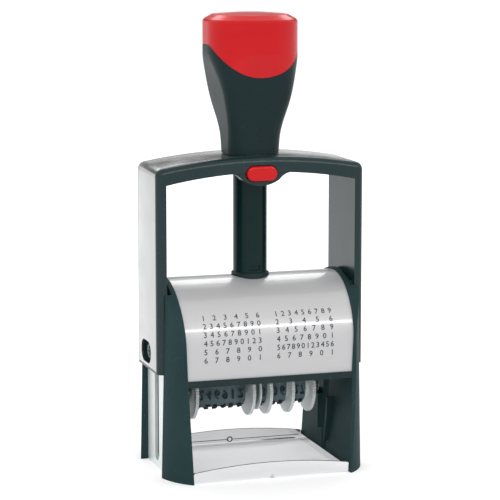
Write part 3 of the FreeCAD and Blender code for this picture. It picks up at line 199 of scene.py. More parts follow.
def blendColour(tree, factor, first, second):
    node = addNode(tree, "ShaderNodeMix", data_type="RGBA")
    node.inputs["A"].default_value = first
    node.inputs["B"].default_value = second
    tree.links.new(factor, node.inputs["Factor"])
    return node.outputs["Result"]


def rangeOf(tree, value, low, high, fromLow=0.0, fromHigh=1.0):
    node = addNode(tree, "ShaderNodeMapRange", {
        "Value": value, "From Min": fromLow, "From Max": fromHigh, "To Min": low, "To Max": high,
    })
    return node.outputs["Result"]


def bumpFrom(tree, shader, height, distance=1.0):
    node = addNode(tree, "ShaderNodeBump", {"Height": height, "Distance": distance, "Strength": 1.0})
    tree.links.new(node.outputs["Normal"], shader.inputs["Normal"])


def scaledHeight(tree, height, depth, shape):
    # a fine height in metres, with a broad shape added to it where there is one
    fine = addNode(tree, "ShaderNodeMath", {0: height, 1: depth}, operation="MULTIPLY")
    if shape is None:
        return fine.outputs[0]
    return addNode(tree, "ShaderNodeMath", {0: fine.outputs[0], 1: shape}, operation="ADD").outputs[0]


def crownShape(tree, bend):
    # a surface that is slightly crowned from front to back
    place = addNode(tree, "ShaderNodeTexCoord").outputs["Object"]
    along = addNode(tree, "ShaderNodeSeparateXYZ", {"Vector": place}).outputs["Y"]
    square = addNode(tree, "ShaderNodeMath", {0: along, 1: along}, operation="MULTIPLY")
    return addNode(tree, "ShaderNodeMath", {0: square.outputs[0], 1: -bend}, operation="MULTIPLY").outputs[0]


moulding = {"patchScale": 45, "scratchGain": 2.2, "scratchLift": 0.02, "glossier": 0.04, "duller": 0.05}


def mouldedPlastic(name, base, paler, roughness, look=None, fine=3000, depth=0.00002, marks=0.25):
    # injection-moulded plastic: fine tooth, slow cloudy sheen, a few scratches
    material, tree, shader = startMaterial(name, look or {})
    grain = useGroup(tree, surfaceGrain, {"Fine scale": fine, "Patch scale": moulding["patchScale"]})
    wear = useGroup(tree, handlingMarks, {"Amount": marks})
    clouded = blendColour(tree, grain["Patch"], colour(base), colour(paler))
    worn = addNode(tree, "ShaderNodeMix", data_type="RGBA")
    tree.links.new(wear["Marks"], worn.inputs["Factor"])
    tree.links.new(clouded, worn.inputs["A"])
    scratch = [min(1, part * moulding["scratchGain"] + moulding["scratchLift"]) for part in colour(paler)[:3]]
    worn.inputs["B"].default_value = scratch + [1]
    tree.links.new(worn.outputs["Result"], shader.inputs["Base Color"])
    gloss = rangeOf(tree, grain["Patch"], roughness - moulding["glossier"], roughness + moulding["duller"])
    tree.links.new(gloss, shader.inputs["Roughness"])
    bumpFrom(tree, shader, scaledHeight(tree, grain["Height"], depth, None))
    return material


brushing = {"markShade": 0.7, "glossier": 0.05, "duller": 0.07, "low": 0.3, "high": 0.7}


def brushedMetal(name, base, darker, stretch, roughness, look=None, depth=0.000004, marks=0.3, crown=0.0):
    # metal with lines along one direction, in its colour, its gloss and its surface
    material, tree, shader = startMaterial(name, {"Metallic": 1.0, **(look or {})})
    brush = useGroup(tree, brushedLines, {"Stretch": stretch})
    wear = useGroup(tree, handlingMarks, {"Amount": marks})
    lined = blendColour(tree, brush["Lines"], colour(darker), colour(base))
    worn = addNode(tree, "ShaderNodeMix", data_type="RGBA")
    tree.links.new(wear["Marks"], worn.inputs["Factor"])
    tree.links.new(lined, worn.inputs["A"])
    worn.inputs["B"].default_value = [part * brushing["markShade"] for part in colour(darker)[:3]] + [1]
    tree.links.new(worn.outputs["Result"], shader.inputs["Base Color"])
    gloss = rangeOf(tree, brush["Blur"], roughness - brushing["glossier"], roughness + brushing["duller"],
                    brushing["low"], brushing["high"])
    tree.links.new(gloss, shader.inputs["Roughness"])
    shape = crownShape(tree, crown) if crown else None
    bumpFrom(tree, shader, scaledHeight(tree, brush["Lines"], depth, shape))
    return material


felt = {"scale": 1500, "detail": 5, "distortion": 1.5, "smoothest": 0.75, "roughest": 1.0, "deep": 0.0003}


def feltMaterial(name, base, paler):
    # ink-soaked felt: matted fibres
    material, tree, shader = startMaterial(name, {"Specular IOR Level": 0.25, "Sheen Weight": 0.15})
    place = addNode(tree, "ShaderNodeTexCoord").outputs["Object"]
    fibres = addNode(tree, "ShaderNodeTexNoise", {
        "Vector": place, "Scale": felt["scale"], "Detail": felt["detail"], "Distortion": felt["distortion"],
    })
    shade = blendColour(tree, fibres.outputs["Fac"], colour(base), colour(paler))
    tree.links.new(shade, shader.inputs["Base Color"])
    gloss = rangeOf(tree, fibres.outputs["Fac"], felt["smoothest"], felt["roughest"])
    tree.links.new(gloss, shader.inputs["Roughness"])
    bumpFrom(tree, shader, fibres.outputs["Fac"], felt["deep"])
    return material


blackMoulding = mouldedPlastic("blackMoulding", "222F31", "273536", 0.4, {"Specular IOR Level": 0.12})
panelMoulding = mouldedPlastic("panelMoulding", "253A3C", "2A4042", 0.5, {"Specular IOR Level": 0.05})
bowMoulding = mouldedPlastic("bowMoulding", "152B2C", "1A3032", 0.24, {"Specular IOR Level": 0.3},
                             depth=0.000006)
gripMoulding = mouldedPlastic("gripMoulding", "0A1F20", "0F2627", 0.4, {"Specular IOR Level": 0.18}, depth=0.00003)
columnLacquer = mouldedPlastic("columnLacquer", "052221", "092726", 0.22, {"Specular IOR Level": 0.15})
redMoulding = mouldedPlastic("redMoulding", "C4060E", "CB0A14", 0.3,
                             {"Specular IOR Level": 0.1, "Coat Weight": 0.35, "Coat Roughness": 0.15},
                             depth=0.00001, marks=0.03)
greyMoulding = mouldedPlastic("greyMoulding", "3E4A4B", "485556", 0.5, {"Specular IOR Level": 0.3})
wheelMoulding = mouldedPlastic("wheelMoulding", "EDF3F3", "F2F6F6", 0.5, marks=0.3)
bandRubber = mouldedPlastic("bandRubber", "62757B", "6C7F85", 0.72, {"Specular IOR Level": 0.25}, fine=2000,
                            depth=0.00004, marks=0.0)
inkedRubber = mouldedPlastic("inkedRubber", "2A3236", "364044", 0.6, {"Specular IOR Level": 0.25}, fine=2000,
                             depth=0.00003, marks=0.0)
printInk = mouldedPlastic("printInk", "2C3032", "34393B", 0.5, {"Specular IOR Level": 0.2},
                          depth=0.000005, marks=0.0)
# near-black paint for the ring mark on the base; the same paint makes the dark line beside it, which is painted
# shadow
markPaintAndShadow = mouldedPlastic("markPaintAndShadow", "0C0E0F", "141718", 0.5, {"Specular IOR Level": 0.2},
                           depth=0.000005, marks=0.0)
silverSheet = brushedMetal("silverSheet", "C3C3C4", "BEBEBF", (25, 6000, 6000), 0.42,
                           {"Metallic": 0.1, "Coat Weight": 0.8, "Coat Roughness": 0.1, "Coat IOR": 1.6},
                           depth=0.0000004, marks=0.05)
brushedBand = brushedMetal("brushedBand", "BEC0BF", "BABCBB", (40, 12000, 40), 0.2, {"Metallic": 0.95},
                           depth=0.00000004, marks=0.0, crown=3.6)
platedSteel = brushedMetal("platedSteel", "F2F8F7", "EAF0EF", (3000, 3000, 40), 0.4, {"Metallic": 0.5},
                           marks=0.1)
polishedSteel = brushedMetal("polishedSteel", "EEEFEF", "E8E9E9", (60, 3000, 3000), 0.1,
                             depth=0.000001, marks=0.1)
plainSteel = brushedMetal("plainSteel", "BFC2C3", "A9ACAE", (40, 2500, 2500), 0.34)
turnedSteel = brushedMetal("turnedSteel", "C2C5C6", "ADB0B1", (3500, 40, 40), 0.3)
dullSteel = brushedMetal("dullSteel", "5E6668", "4E5658", (3500, 40, 40), 0.45)
blackenedSteel = brushedMetal("blackenedSteel", "3A3E40", "2E3234", (2500, 2500, 2500), 0.4)
inkFelt = feltMaterial("inkFelt", "14172E", "23284A")
print("materials made")

finishes = {
    "base_frame": polishedSteel,
    "side_panel_right": panelMoulding,
    "side_panel_left": panelMoulding,
    "side_plate_right": platedSteel,
    "side_plate_left": platedSteel,
    "panel_rivets": plainSteel,
    "frame_bridge": plainSteel,
    "cover": silverSheet,
    "front_lip": blackMoulding,
    "rear_rail": blackMoulding,
    "column_tube": columnLacquer,
    "column_collar": blackMoulding,
    "column_screw": turnedSteel,
    "return_spring": turnedSteel,
    "pad_guide_right": blackMoulding,
    "pad_guide_left": blackMoulding,
    "bow_frame": bowMoulding,
    "bow_band": brushedBand,
    "guide_sleeve": greyMoulding,
    "handle_grip": gripMoulding,
    "handle_cap": redMoulding,
    "plunger_rod": turnedSteel,
    "lock_button": redMoulding,
    "lock_tongue": plainSteel,
    "carrier_frame": greyMoulding,
    "print_anvil": greyMoulding,
    "axle_pin_right": dullSteel,
    "axle_pin_left": dullSteel,
    "axle_clip_right": blackenedSteel,
    "axle_clip_left": blackenedSteel,
    "follower_pins": turnedSteel,
    "wheel_axle": turnedSteel,
    "separator_disc": wheelMoulding,
    "pad_tray": blackMoulding,
    "ink_pad": inkFelt,
}
settings = ["word", "tens", "units", "month", "year"]
for name in settings:
    finishes[name + "_wheel"] = wheelMoulding
    finishes[name + "_band"] = bandRubber
for name, material in finishes.items():
    slots = nodes[name].material_slots
    if len(slots) == 0:
        nodes[name].data.materials.append(material)
    for materialSlot in slots:
        materialSlot.link = "OBJECT"
        materialSlot.material = material
print("CAD pieces finished:", len(finishes))


# digits that stand on a guide line: the list on the cover and the type on the bands
def newTree(name, inputs):
    # an empty Geometry Nodes tree with its named inputs, given as {name: (kind, value)}
    tree = bpy.data.node_groups.new(name, "GeometryNodeTree")
    tree.interface.new_socket("Geometry", in_out="INPUT", socket_type="NodeSocketGeometry")
    for socketName, (kind, value) in inputs.items():
        socket = tree.interface.new_socket(socketName, in_out="INPUT", socket_type=kind)
        if value is not None:
            socket.default_value = value
    tree.interface.new_socket("Geometry", in_out="OUTPUT", socket_type="NodeSocketGeometry")
    return tree, tree.nodes.new("NodeGroupInput").outputs, tree.nodes.new("NodeGroupOutput").inputs


mergeReach = 0.002 * mm  # points closer than this are one


def closedShell(tree, surface, offset, reach):
    # thickens a surface along an offset, and closes it with the surface itself
    moved = addNode(tree, "GeometryNodeExtrudeMesh", {
        "Mesh": surface, "Offset Scale": reach, "Individual": False,
    })
    if offset is not None:
        tree.links.new(offset, moved.inputs["Offset"])
    turnedOver = addNode(tree, "GeometryNodeFlipFaces", {"Mesh": surface})
    both = addNode(tree, "GeometryNodeJoinGeometry")
    tree.links.new(moved.outputs["Mesh"], both.inputs["Geometry"])
    tree.links.new(turnedOver.outputs["Mesh"], both.inputs["Geometry"])
    merged = addNode(tree, "GeometryNodeMergeByDistance", {
        "Geometry": both.outputs["Geometry"], "Distance": mergeReach,
    })
    return merged.outputs["Geometry"]


def makeDigitTree(name, withStrip):
    # the mesh's edges are the guide, its loose points are digits at (across, along) the guide
    tree, given, result = newTree(name, {
        "Digit size": (floatKind, 0.003), "Stretch": (floatKind, 1), "Up": (floatKind, 1),
        "Sunk": (floatKind, 0.0001), "Proud": (floatKind, 0.0001),
        "Strip width": (floatKind, 0.01), "Strip thickness": (floatKind, 0.0007),
        "Digit material": ("NodeSocketMaterial", None), "Strip material": ("NodeSocketMaterial", None),
    })
    digit = addNode(tree, "GeometryNodeInputNamedAttribute", data_type="INT")
    digit.inputs["Name"].default_value = "digit"
    digitNumber = [socket for socket in digit.outputs if socket.enabled and socket.name == "Attribute"][0]
    isDigit = addNode(tree, "FunctionNodeCompare", data_type="INT", operation="GREATER_EQUAL")
    tree.links.new(digitNumber, isDigit.inputs[2])  # the first of its whole-number sockets
    isGuide = addNode(tree, "FunctionNodeBooleanMath", {0: isDigit.outputs["Result"]}, operation="NOT")
    guide = addNode(tree, "GeometryNodeMeshToCurve", {
        "Mesh": given["Geometry"], "Selection": isGuide.outputs[0],
    })
    places = addNode(tree, "GeometryNodeMeshToPoints", {
        "Mesh": given["Geometry"], "Selection": isDigit.outputs["Result"],
    })

    # each digit is a filled outline, put on its point and made a block
    glyphs = addNode(tree, "GeometryNodeStringToCurves", {"String": "0123456789", "Size": given["Digit size"]})
    unturned = addNode(tree, "FunctionNodeCombineTransform")
    atOrigin = addNode(tree, "GeometryNodeSetInstanceTransform", {
        "Instances": glyphs.outputs["Curve Instances"], "Transform": unturned.outputs["Transform"],
    })
    scale = addNode(tree, "ShaderNodeCombineXYZ", {"X": given["Stretch"], "Y": given["Up"], "Z": 1.0})
    chosen = addNode(tree, "GeometryNodeInstanceOnPoints", {
        "Points": places.outputs["Points"], "Instance": atOrigin.outputs["Instances"], "Pick Instance": True,
        "Instance Index": digitNumber, "Scale": scale.outputs["Vector"],
    })
    drawn = addNode(tree, "GeometryNodeRealizeInstances", {"Geometry": chosen.outputs["Instances"]})
    eased = addNode(tree, "GeometryNodeSetSplineResolution", {
        "Geometry": drawn.outputs["Geometry"], "Resolution": 2,
    })
    filled = addNode(tree, "GeometryNodeFillCurve", {"Curve": eased.outputs["Geometry"]}, mode="TRIANGLES")
    lowered = addNode(tree, "ShaderNodeMath", {0: given["Sunk"], 1: -1.0}, operation="MULTIPLY")
    drop = addNode(tree, "ShaderNodeCombineXYZ", {"Z": lowered.outputs[0]})
    sunk = addNode(tree, "GeometryNodeSetPosition", {
        "Geometry": filled.outputs["Mesh"], "Offset": drop.outputs["Vector"],
    })
    tall = addNode(tree, "ShaderNodeMath", {0: given["Sunk"], 1: given["Proud"]}, operation="ADD")
    upward = addNode(tree, "ShaderNodeCombineXYZ", {"Z": 1.0})
    blocks = closedShell(tree, sunk.outputs["Geometry"], upward.outputs["Vector"], tall.outputs[0])

    # the blocks are bent round the guide: y is the way along it, z the height over it
    position = addNode(tree, "GeometryNodeInputPosition").outputs[0]
    flat = addNode(tree, "ShaderNodeSeparateXYZ", {"Vector": position})
    onGuide = addNode(tree, "GeometryNodeSampleCurve", {
        "Curves": guide.outputs["Curve"], "Length": flat.outputs["Y"],
    }, mode="LENGTH")
    right = addNode(tree, "ShaderNodeCombineXYZ", {"X": 1.0})
    outward = addNode(tree, "ShaderNodeVectorMath", {0: right.outputs["Vector"], 1: onGuide.outputs["Tangent"]},
                      operation="CROSS_PRODUCT")
    rise = addNode(tree, "ShaderNodeVectorMath", {0: outward.outputs[0], "Scale": flat.outputs["Z"]},
                   operation="SCALE")
    spot = addNode(tree, "ShaderNodeSeparateXYZ", {"Vector": onGuide.outputs["Position"]})
    across = addNode(tree, "ShaderNodeCombineXYZ", {
        "X": flat.outputs["X"], "Y": spot.outputs["Y"], "Z": spot.outputs["Z"],
    })
    bent = addNode(tree, "ShaderNodeVectorMath", {0: across.outputs["Vector"], 1: rise.outputs[0]},
                   operation="ADD")
    digits = addNode(tree, "GeometryNodeSetPosition", {"Geometry": blocks, "Position": bent.outputs[0]})

    inked = addNode(tree, "GeometryNodeSetMaterial", {
        "Geometry": digits.outputs["Geometry"], "Material": given["Digit material"],
    })
    joined = addNode(tree, "GeometryNodeJoinGeometry")
    tree.links.new(inked.outputs["Geometry"], joined.inputs["Geometry"])
    if withStrip:
        line = addNode(tree, "GeometryNodeCurveToMesh", {"Curve": guide.outputs["Curve"]})
        wide = addNode(tree, "ShaderNodeCombineXYZ", {"X": 1.0})
        ribbon = addNode(tree, "GeometryNodeExtrudeMesh", {
            "Mesh": line.outputs["Mesh"], "Offset": wide.outputs["Vector"], "Offset Scale": given["Strip width"],
        }, mode="EDGES")
        inward = addNode(tree, "ShaderNodeMath", {0: given["Strip thickness"], 1: -1.0}, operation="MULTIPLY")
        strip = closedShell(tree, ribbon.outputs["Mesh"], None, inward.outputs[0])
        tree.links.new(strip, joined.inputs["Geometry"])
    real = addNode(tree, "GeometryNodeRealizeInstances", {"Geometry": joined.outputs["Geometry"]})
    # what isn't a digit is the strip
    isInked = addNode(tree, "GeometryNodeMaterialSelection", {"Material": given["Digit material"]})
    isStrip = addNode(tree, "FunctionNodeBooleanMath", {0: isInked.outputs["Selection"]}, operation="NOT")
    painted = addNode(tree, "GeometryNodeSetMaterial", {
        "Geometry": real.outputs["Geometry"], "Selection": isStrip.outputs[0], "Material": given["Strip material"],
    })
    tree.links.new(painted.outputs["Geometry"], result["Geometry"])
    return tree


def guideMesh(name, line, closed, digits):
    # guide points as (y, z), then digits as (across, along, digit)
    points = [(0, y, z) for y, z in line] + [(x, along, 0) for x, along, number in digits]
    count = len(line)
    edges = [(i, (i + 1) % count) for i in range(count if closed else count - 1)]
    mesh = bpy.data.meshes.new(name)
    mesh.from_pydata(points, edges, [])
    numbers = mesh.attributes.new("digit", "INT", "POINT")
    numbers.data.foreach_set("value", [-1] * count + [number for x, along, number in digits])
    return mesh


def bakePiece(name, mesh, tree, values):
    # runs the tree on a mesh and keeps the result as a plain mesh with its faces outward
    piece = bpy.data.objects.new(name, mesh)
    bpy.context.scene.collection.objects.link(piece)
    modifier = piece.modifiers.new("digits", "NODES")
    modifier.node_group = tree
    for socket in tree.interface.items_tree:
        if socket.in_out == "INPUT" and socket.name in values:
            modifier[socket.identifier] = values[socket.name]
    made = bpy.data.meshes.new_from_object(piece.evaluated_get(bpy.context.evaluated_depsgraph_get()))
    piece.modifiers.clear()
    piece.data = made
    whole = bmesh.new()
    whole.from_mesh(made)
    bmesh.ops.recalc_face_normals(whole, faces=whole.faces)
    whole.to_mesh(made)
    whole.free()
    return piece


digitShape = {"high": 0.73, "wide": 0.6}  # of a digit's size, as drawn

coverPrint = {
    # left edge, right edge, digits in each row
    "columns": ((-25.5, -3.0, (6, 9, 9, 10, 6, 6)), (2.4, 25.0, (9, 5, 7, 8, 12, 6))),
    "lowestRow": 6.56, "pitch": 3.16, "digitSize": 2.9, "slant": 0.008,
    "front": 25.4, "foot": 38.0, "shoulderUp": 50.0, "shoulderRadius": 18.0, "shoulderEnd": 29.6,
    "crownRadius": 26.5, "crownUp": 45.8, "steps": 24, "sunk": 0.05, "proud": 0.09,
}


def coverLine(shape):
    # the cover's front outline from its foot to its crown
    line = [(-shape["front"], shape["foot"]), (-shape["front"], shape["shoulderUp"])]
    centre = shape["front"] - shape["shoulderRadius"]
    for step in range(1, shape["steps"] + 1):
        angle = math.radians(shape["shoulderEnd"] * step / shape["steps"])
        line.append((-centre - shape["shoulderRadius"] * math.cos(angle),
                     shape["shoulderUp"] + shape["shoulderRadius"] * math.sin(angle)))
    for step in range(1, shape["steps"] + 1):
        angle = math.radians(shape["shoulderEnd"] + (90 - shape["shoulderEnd"]) * step / shape["steps"])
        line.append((-shape["crownRadius"] * math.cos(angle),
                     shape["crownUp"] + shape["crownRadius"] * math.sin(angle)))
    return [(y * mm, z * mm) for y, z in line]


def makeCoverPrint(shape):
    # rows of plain digits, each row spread over the width of its column
    digits = []
    for left, right, counts in shape["columns"]:
        for row, count in enumerate(counts):
            along = shape["lowestRow"] + shape["pitch"] * (len(counts) - 1 - row)
            room = (right - left - digitShape["wide"] * shape["digitSize"]) / (count - 1)
            for place in range(count):
                x = left + room * place
                digits.append((x * mm, (along + x * shape["slant"]) * mm, (row + place + 1) % 10))
    piece = bakePiece("cover_print", guideMesh("cover_print", coverLine(shape), False, digits), plainDigits, {
        "Digit size": shape["digitSize"] * mm, "Stretch": 1.0, "Up": 1.0,
        "Sunk": shape["sunk"] * mm, "Proud": shape["proud"] * mm, "Digit material": printInk,
    })
    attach(piece, "frame")


bandShape = {
    "axleY": 2.0, "wheelUp": 27.7, "outerRadius": 6.0, "topUp": 53.6, "topHalf": 3.8, "thick": 0.7,
    "rows": 13, "digitHigh": 3.5, "digitFill": 0.86, "sunk": 0.2, "proud": 0.8, "loopSteps": 80,
}
bands = {
    # name: (left edge, right edge, digits in each row, of which an empty one is left bare)
    "word": (-21.894, -3.001, ["%06d" % (123456 * (row + 1) % 1000000) for row in range(13)]),
    "tens": (0.295, 1.894, ["0", "1", "2", "3", "", "0", "1", "2", "3", "", "0", "1", "2"]),
    "units": (3.296, 5.289, ["2", "3", "4", "5", "6", "7", "8", "9", "", "", "", "0", "1"]),
    "month": (7.306, 13.284, ["05", "06", "07", "08", "09", "10", "11", "12", "", "01", "02", "03", "04"]),
    "year": (15.99, 20.91, ["%02d" % (26 + row) for row in range(13)]),
}


def bandLoop(shape):
    # the band's outer outline: round the wheel from below, up the front, over the anvil and down the back
    radius, half, rise = shape["outerRadius"], shape["topHalf"], shape["topUp"] - shape["wheelUp"]
    square = half ** 2 + rise ** 2
    tangent = math.sqrt(square - radius ** 2)
    lift = math.asin(radius * (radius * rise - half * tangent) / square / radius)
    sweep = math.pi + 2 * lift
    flat, bend = 2 * half, radius * sweep
    run = math.hypot(half - radius * math.cos(lift), rise - radius * math.sin(lift))
    total = flat + 2 * run + bend

    def at(along):
        # a point on the loop, from the bottom's middle towards the front
        along %= total
        if along > total / 2:
            y, z = at(total - along)
            return -y, z
        if along < bend / 2:
            angle = along / radius
            return -radius * math.sin(angle), -radius * math.cos(angle)
        if along < bend / 2 + run:
            share = (along - bend / 2) / run
            start = (-radius * math.cos(lift), radius * math.sin(lift))
            return start[0] + (-half - start[0]) * share, start[1] + (rise - start[1]) * share
        return -half + (along - bend / 2 - run), rise

    return total, at, [0, bend / 2, bend / 2 + run, total - bend / 2 - run, total - bend / 2]


def makeBand(name):
    # an endless band with its digits in mirror image, as type has them
    left, right, rows = bands[name]
    shape = bandShape
    total, at, corners = bandLoop(shape)
    stops = sorted({round(total * k / shape["loopSteps"], 4) for k in range(shape["loopSteps"])}
                   | {round(corner, 4) for corner in corners})
    line = [((y + shape["axleY"]) * mm, (z + shape["wheelUp"]) * mm) for y, z in map(at, stops)]
    size = shape["digitHigh"] / digitShape["high"]
    room = (right - left) / max(map(len, rows))
    stretch = min(1.0, room * shape["digitFill"] / (digitShape["wide"] * size))
    digits = []
    for row, text in enumerate(rows):
        along = total * (row + 0.5) / shape["rows"] + shape["digitHigh"] / 2
        for place, letter in enumerate(text):
            x = left + room * (place + 0.5) - digitShape["wide"] * size * stretch / 2
            digits.append((x * mm, along * mm, int(letter)))
    mesh = guideMesh(name + "_type", line, True, digits)
    for vertex in mesh.vertices[:len(line)]:
        vertex.co.x = left * mm
    piece = bakePiece(name + "_type_band", mesh, bandDigits, {
        "Digit size": size * mm, "Stretch": stretch, "Up": -1.0, "Sunk": shape["sunk"] * mm,
        "Proud": shape["proud"] * mm, "Strip width": (right - left) * mm, "Strip thickness": shape["thick"] * mm,
        "Digit material": inkedRubber, "Strip material": bandRubber,
    })
    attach(piece, "carrier")
    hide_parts(name + "_band")


# the ring is a painted mark; the line either side of it is painted shadow along the rear wall's lower edge
rearMarkAndShadowLine = {
    "wallY": 26.4, "wallUp": 2.2, "shadowLineHigh": 0.32, "shadowLineReach": 28.6, "gap": 1.15, "deep": 0.12, "proud": 0.03,
    "ringY": 26.1, "ringUp": 2.3, "ringRadius": 0.92, "ringWire": 0.2, "ringSteps": 32, "wireSteps": 10,
    "bevelShare": 0.12,
}


def makeRearMarkAndShadowLine(shape):
    # a dark line along the base's rear wall that is painted shadow, standing in for the shade along the wall's
    # lower edge, with a painted ring mark at its middle
    whole = bmesh.new()
    # the two dark bars either side of the ring are painted shadow, not a real mark
    for side in (-1, 1):
        middle = side * (shape["shadowLineReach"] + shape["gap"]) / 2
        size = (shape["shadowLineReach"] - shape["gap"], shape["deep"], shape["shadowLineHigh"])
        place = (middle, shape["wallY"] - shape["proud"] + shape["deep"] / 2, shape["wallUp"])
        bar = Matrix.Translation(place) @ Matrix.Diagonal((*size, 1))
        line = bmesh.ops.create_cube(whole, size=1, matrix=bar)
        bmesh.ops.bevel(whole, geom=[edge for edge in whole.edges if edge.verts[0] in line["verts"]],
                        offset=shape["shadowLineHigh"] * shape["bevelShare"], segments=2, affect="EDGES")
    rings = []
    for step in range(shape["ringSteps"]):
        turn = 2 * math.pi * step / shape["ringSteps"]
        row = []
        for place in range(shape["wireSteps"]):
            angle = 2 * math.pi * place / shape["wireSteps"]
            reach = shape["ringRadius"] + shape["ringWire"] * math.cos(angle)
            back = shape["ringY"] + shape["ringWire"] * math.sin(angle)
            up = shape["ringUp"] + reach * math.sin(turn)
            row.append(whole.verts.new((reach * math.cos(turn), back, up)))
        rings.append(row)
    for step, row in enumerate(rings):
        after = rings[(step + 1) % shape["ringSteps"]]
        for place in range(shape["wireSteps"]):
            beside = (place + 1) % shape["wireSteps"]
            whole.faces.new((row[place], row[beside], after[beside], after[place]))
    bmesh.ops.scale(whole, vec=(mm, mm, mm), verts=whole.verts)
    bmesh.ops.recalc_face_normals(whole, faces=whole.faces)
    mesh = bpy.data.meshes.new("base_mark")
    whole.to_mesh(mesh)
    whole.free()
    mesh.materials.append(markPaintAndShadow)
    piece = bpy.data.objects.new("base_mark", mesh)
    bpy.context.scene.collection.objects.link(piece)
    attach(piece, "frame")


pressSpring = {
    "radius": 3.3, "wire": 1.0, "low": 70.3, "high": 117.0, "turns": 10, "stepsPerTurn": 24, "wireSteps": 10,
    "floorUp": 69.8, "pistonUp": 117.5, "travel": 35.0, "slack": 0.06,
}


def makeSpring(shape):
    # the coil in the column as one wire
    climb = (shape["high"] - shape["low"]) / (shape["turns"] * 2 * math.pi)
    whole = bmesh.new()
    rings = []
    for step in range(shape["turns"] * shape["stepsPerTurn"] + 1):
        angle = 2 * math.pi * step / shape["stepsPerTurn"]
        reach = Vector((math.cos(angle), math.sin(angle), 0))
        way = Vector((-shape["radius"] * reach.y, shape["radius"] * reach.x, climb)).normalized()
        beside = way.cross(reach)
        middle = reach * shape["radius"] + Vector((0, 0, shape["low"] + climb * angle))
        ring = []
        for place in range(shape["wireSteps"]):
            turn = 2 * math.pi * place / shape["wireSteps"]
            spot = middle + (reach * math.cos(turn) + beside * math.sin(turn)) * shape["wire"] / 2
            ring.append(whole.verts.new(spot * mm))
        rings.append(ring)
    for before, after in zip(rings, rings[1:]):
        for place in range(shape["wireSteps"]):
            following = (place + 1) % shape["wireSteps"]
            whole.faces.new((before[place], before[following], after[following], after[place]))
    whole.faces.new(rings[0])
    whole.faces.new(rings[-1])
    bmesh.ops.recalc_face_normals(whole, faces=whole.faces)
    for face in whole.faces:
        face.smooth = len(face.verts) == 4
    mesh = bpy.data.meshes.new("press_spring")
    whole.to_mesh(mesh)
    whole.free()
    mesh.materials.append(turnedSteel)
    piece = bpy.data.objects.new("press_spring", mesh)
    bpy.context.scene.collection.objects.link(piece)
    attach(piece, "frame")
    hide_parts("return_spring")
    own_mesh(piece)


plainDigits, bandDigits = makeDigitTree("digitsOnCover", False), makeDigitTree("digitsOnBand", True)
makeCoverPrint(coverPrint)
for name in bands:
    makeBand(name)
makeRearMarkAndShadowLine(rearMarkAndShadowLine)
makeSpring(pressSpring)
print("digits on the cover and the bands made, the mark on the base and the press spring")


studio = {
    "floorSize": 6.0, "floorColour": "EDEDEE", "skyStrength": 0.75,
    "nearLift": 0.24, "nearReach": 0.1, "floorLift": 0.4, "farReach": 0.6, "floorMirror": 0.2,
    "bandLow": 0.1, "bandLowSoft": (0.02, 0.04), "bandHigh": 0.4, "bandHighSoft": 0.1, "bandBehind": (0.3, 0.7),
    "bandDepth": 0.85,
}


def makeFloor():
    size = studio["floorSize"]
    mesh = bpy.data.meshes.new("floor")
    corners = [(-size, -size, 0), (size, -size, 0), (size, size, 0), (-size, size, 0)]
    mesh.from_pydata(corners, [], [(0, 1, 2, 3)])
    floor = bpy.data.objects.new("floor", mesh)
    bpy.context.scene.collection.objects.link(floor)
    material, tree, shader = startMaterial("paleFloor", {
        "Base Color": colour(studio["floorColour"]), "Roughness": 0.9, "Specular IOR Level": 0.1,
    })
    # the floor is lifted towards white where the camera or a reflection sees it, less so near the object, where
    # it keeps its shadow
    seen = addNode(tree, "ShaderNodeLightPath")
    place = addNode(tree, "ShaderNodeTexCoord").outputs["Object"]
    reach = addNode(tree, "ShaderNodeVectorMath", {0: place}, operation="LENGTH").outputs["Value"]
    raised = rangeOf(tree, reach, studio["nearLift"], studio["floorLift"],
                     studio["nearReach"], studio["farReach"])
    direct = addNode(tree, "ShaderNodeMath", {0: seen.outputs["Is Camera Ray"], 1: raised}, operation="MULTIPLY")
    mirrored = addNode(tree, "ShaderNodeMath", {0: seen.outputs["Is Glossy Ray"], 1: studio["floorMirror"]},
                       operation="MULTIPLY")
    lift = addNode(tree, "ShaderNodeMath", {0: direct.outputs[0], 1: mirrored.outputs[0]},
                   operation="MAXIMUM")
    tree.links.new(lift.outputs[0], shader.inputs["Emission Strength"])
    shader.inputs["Emission Color"].default_value = (1, 1, 1, 1)
    mesh.materials.append(material)


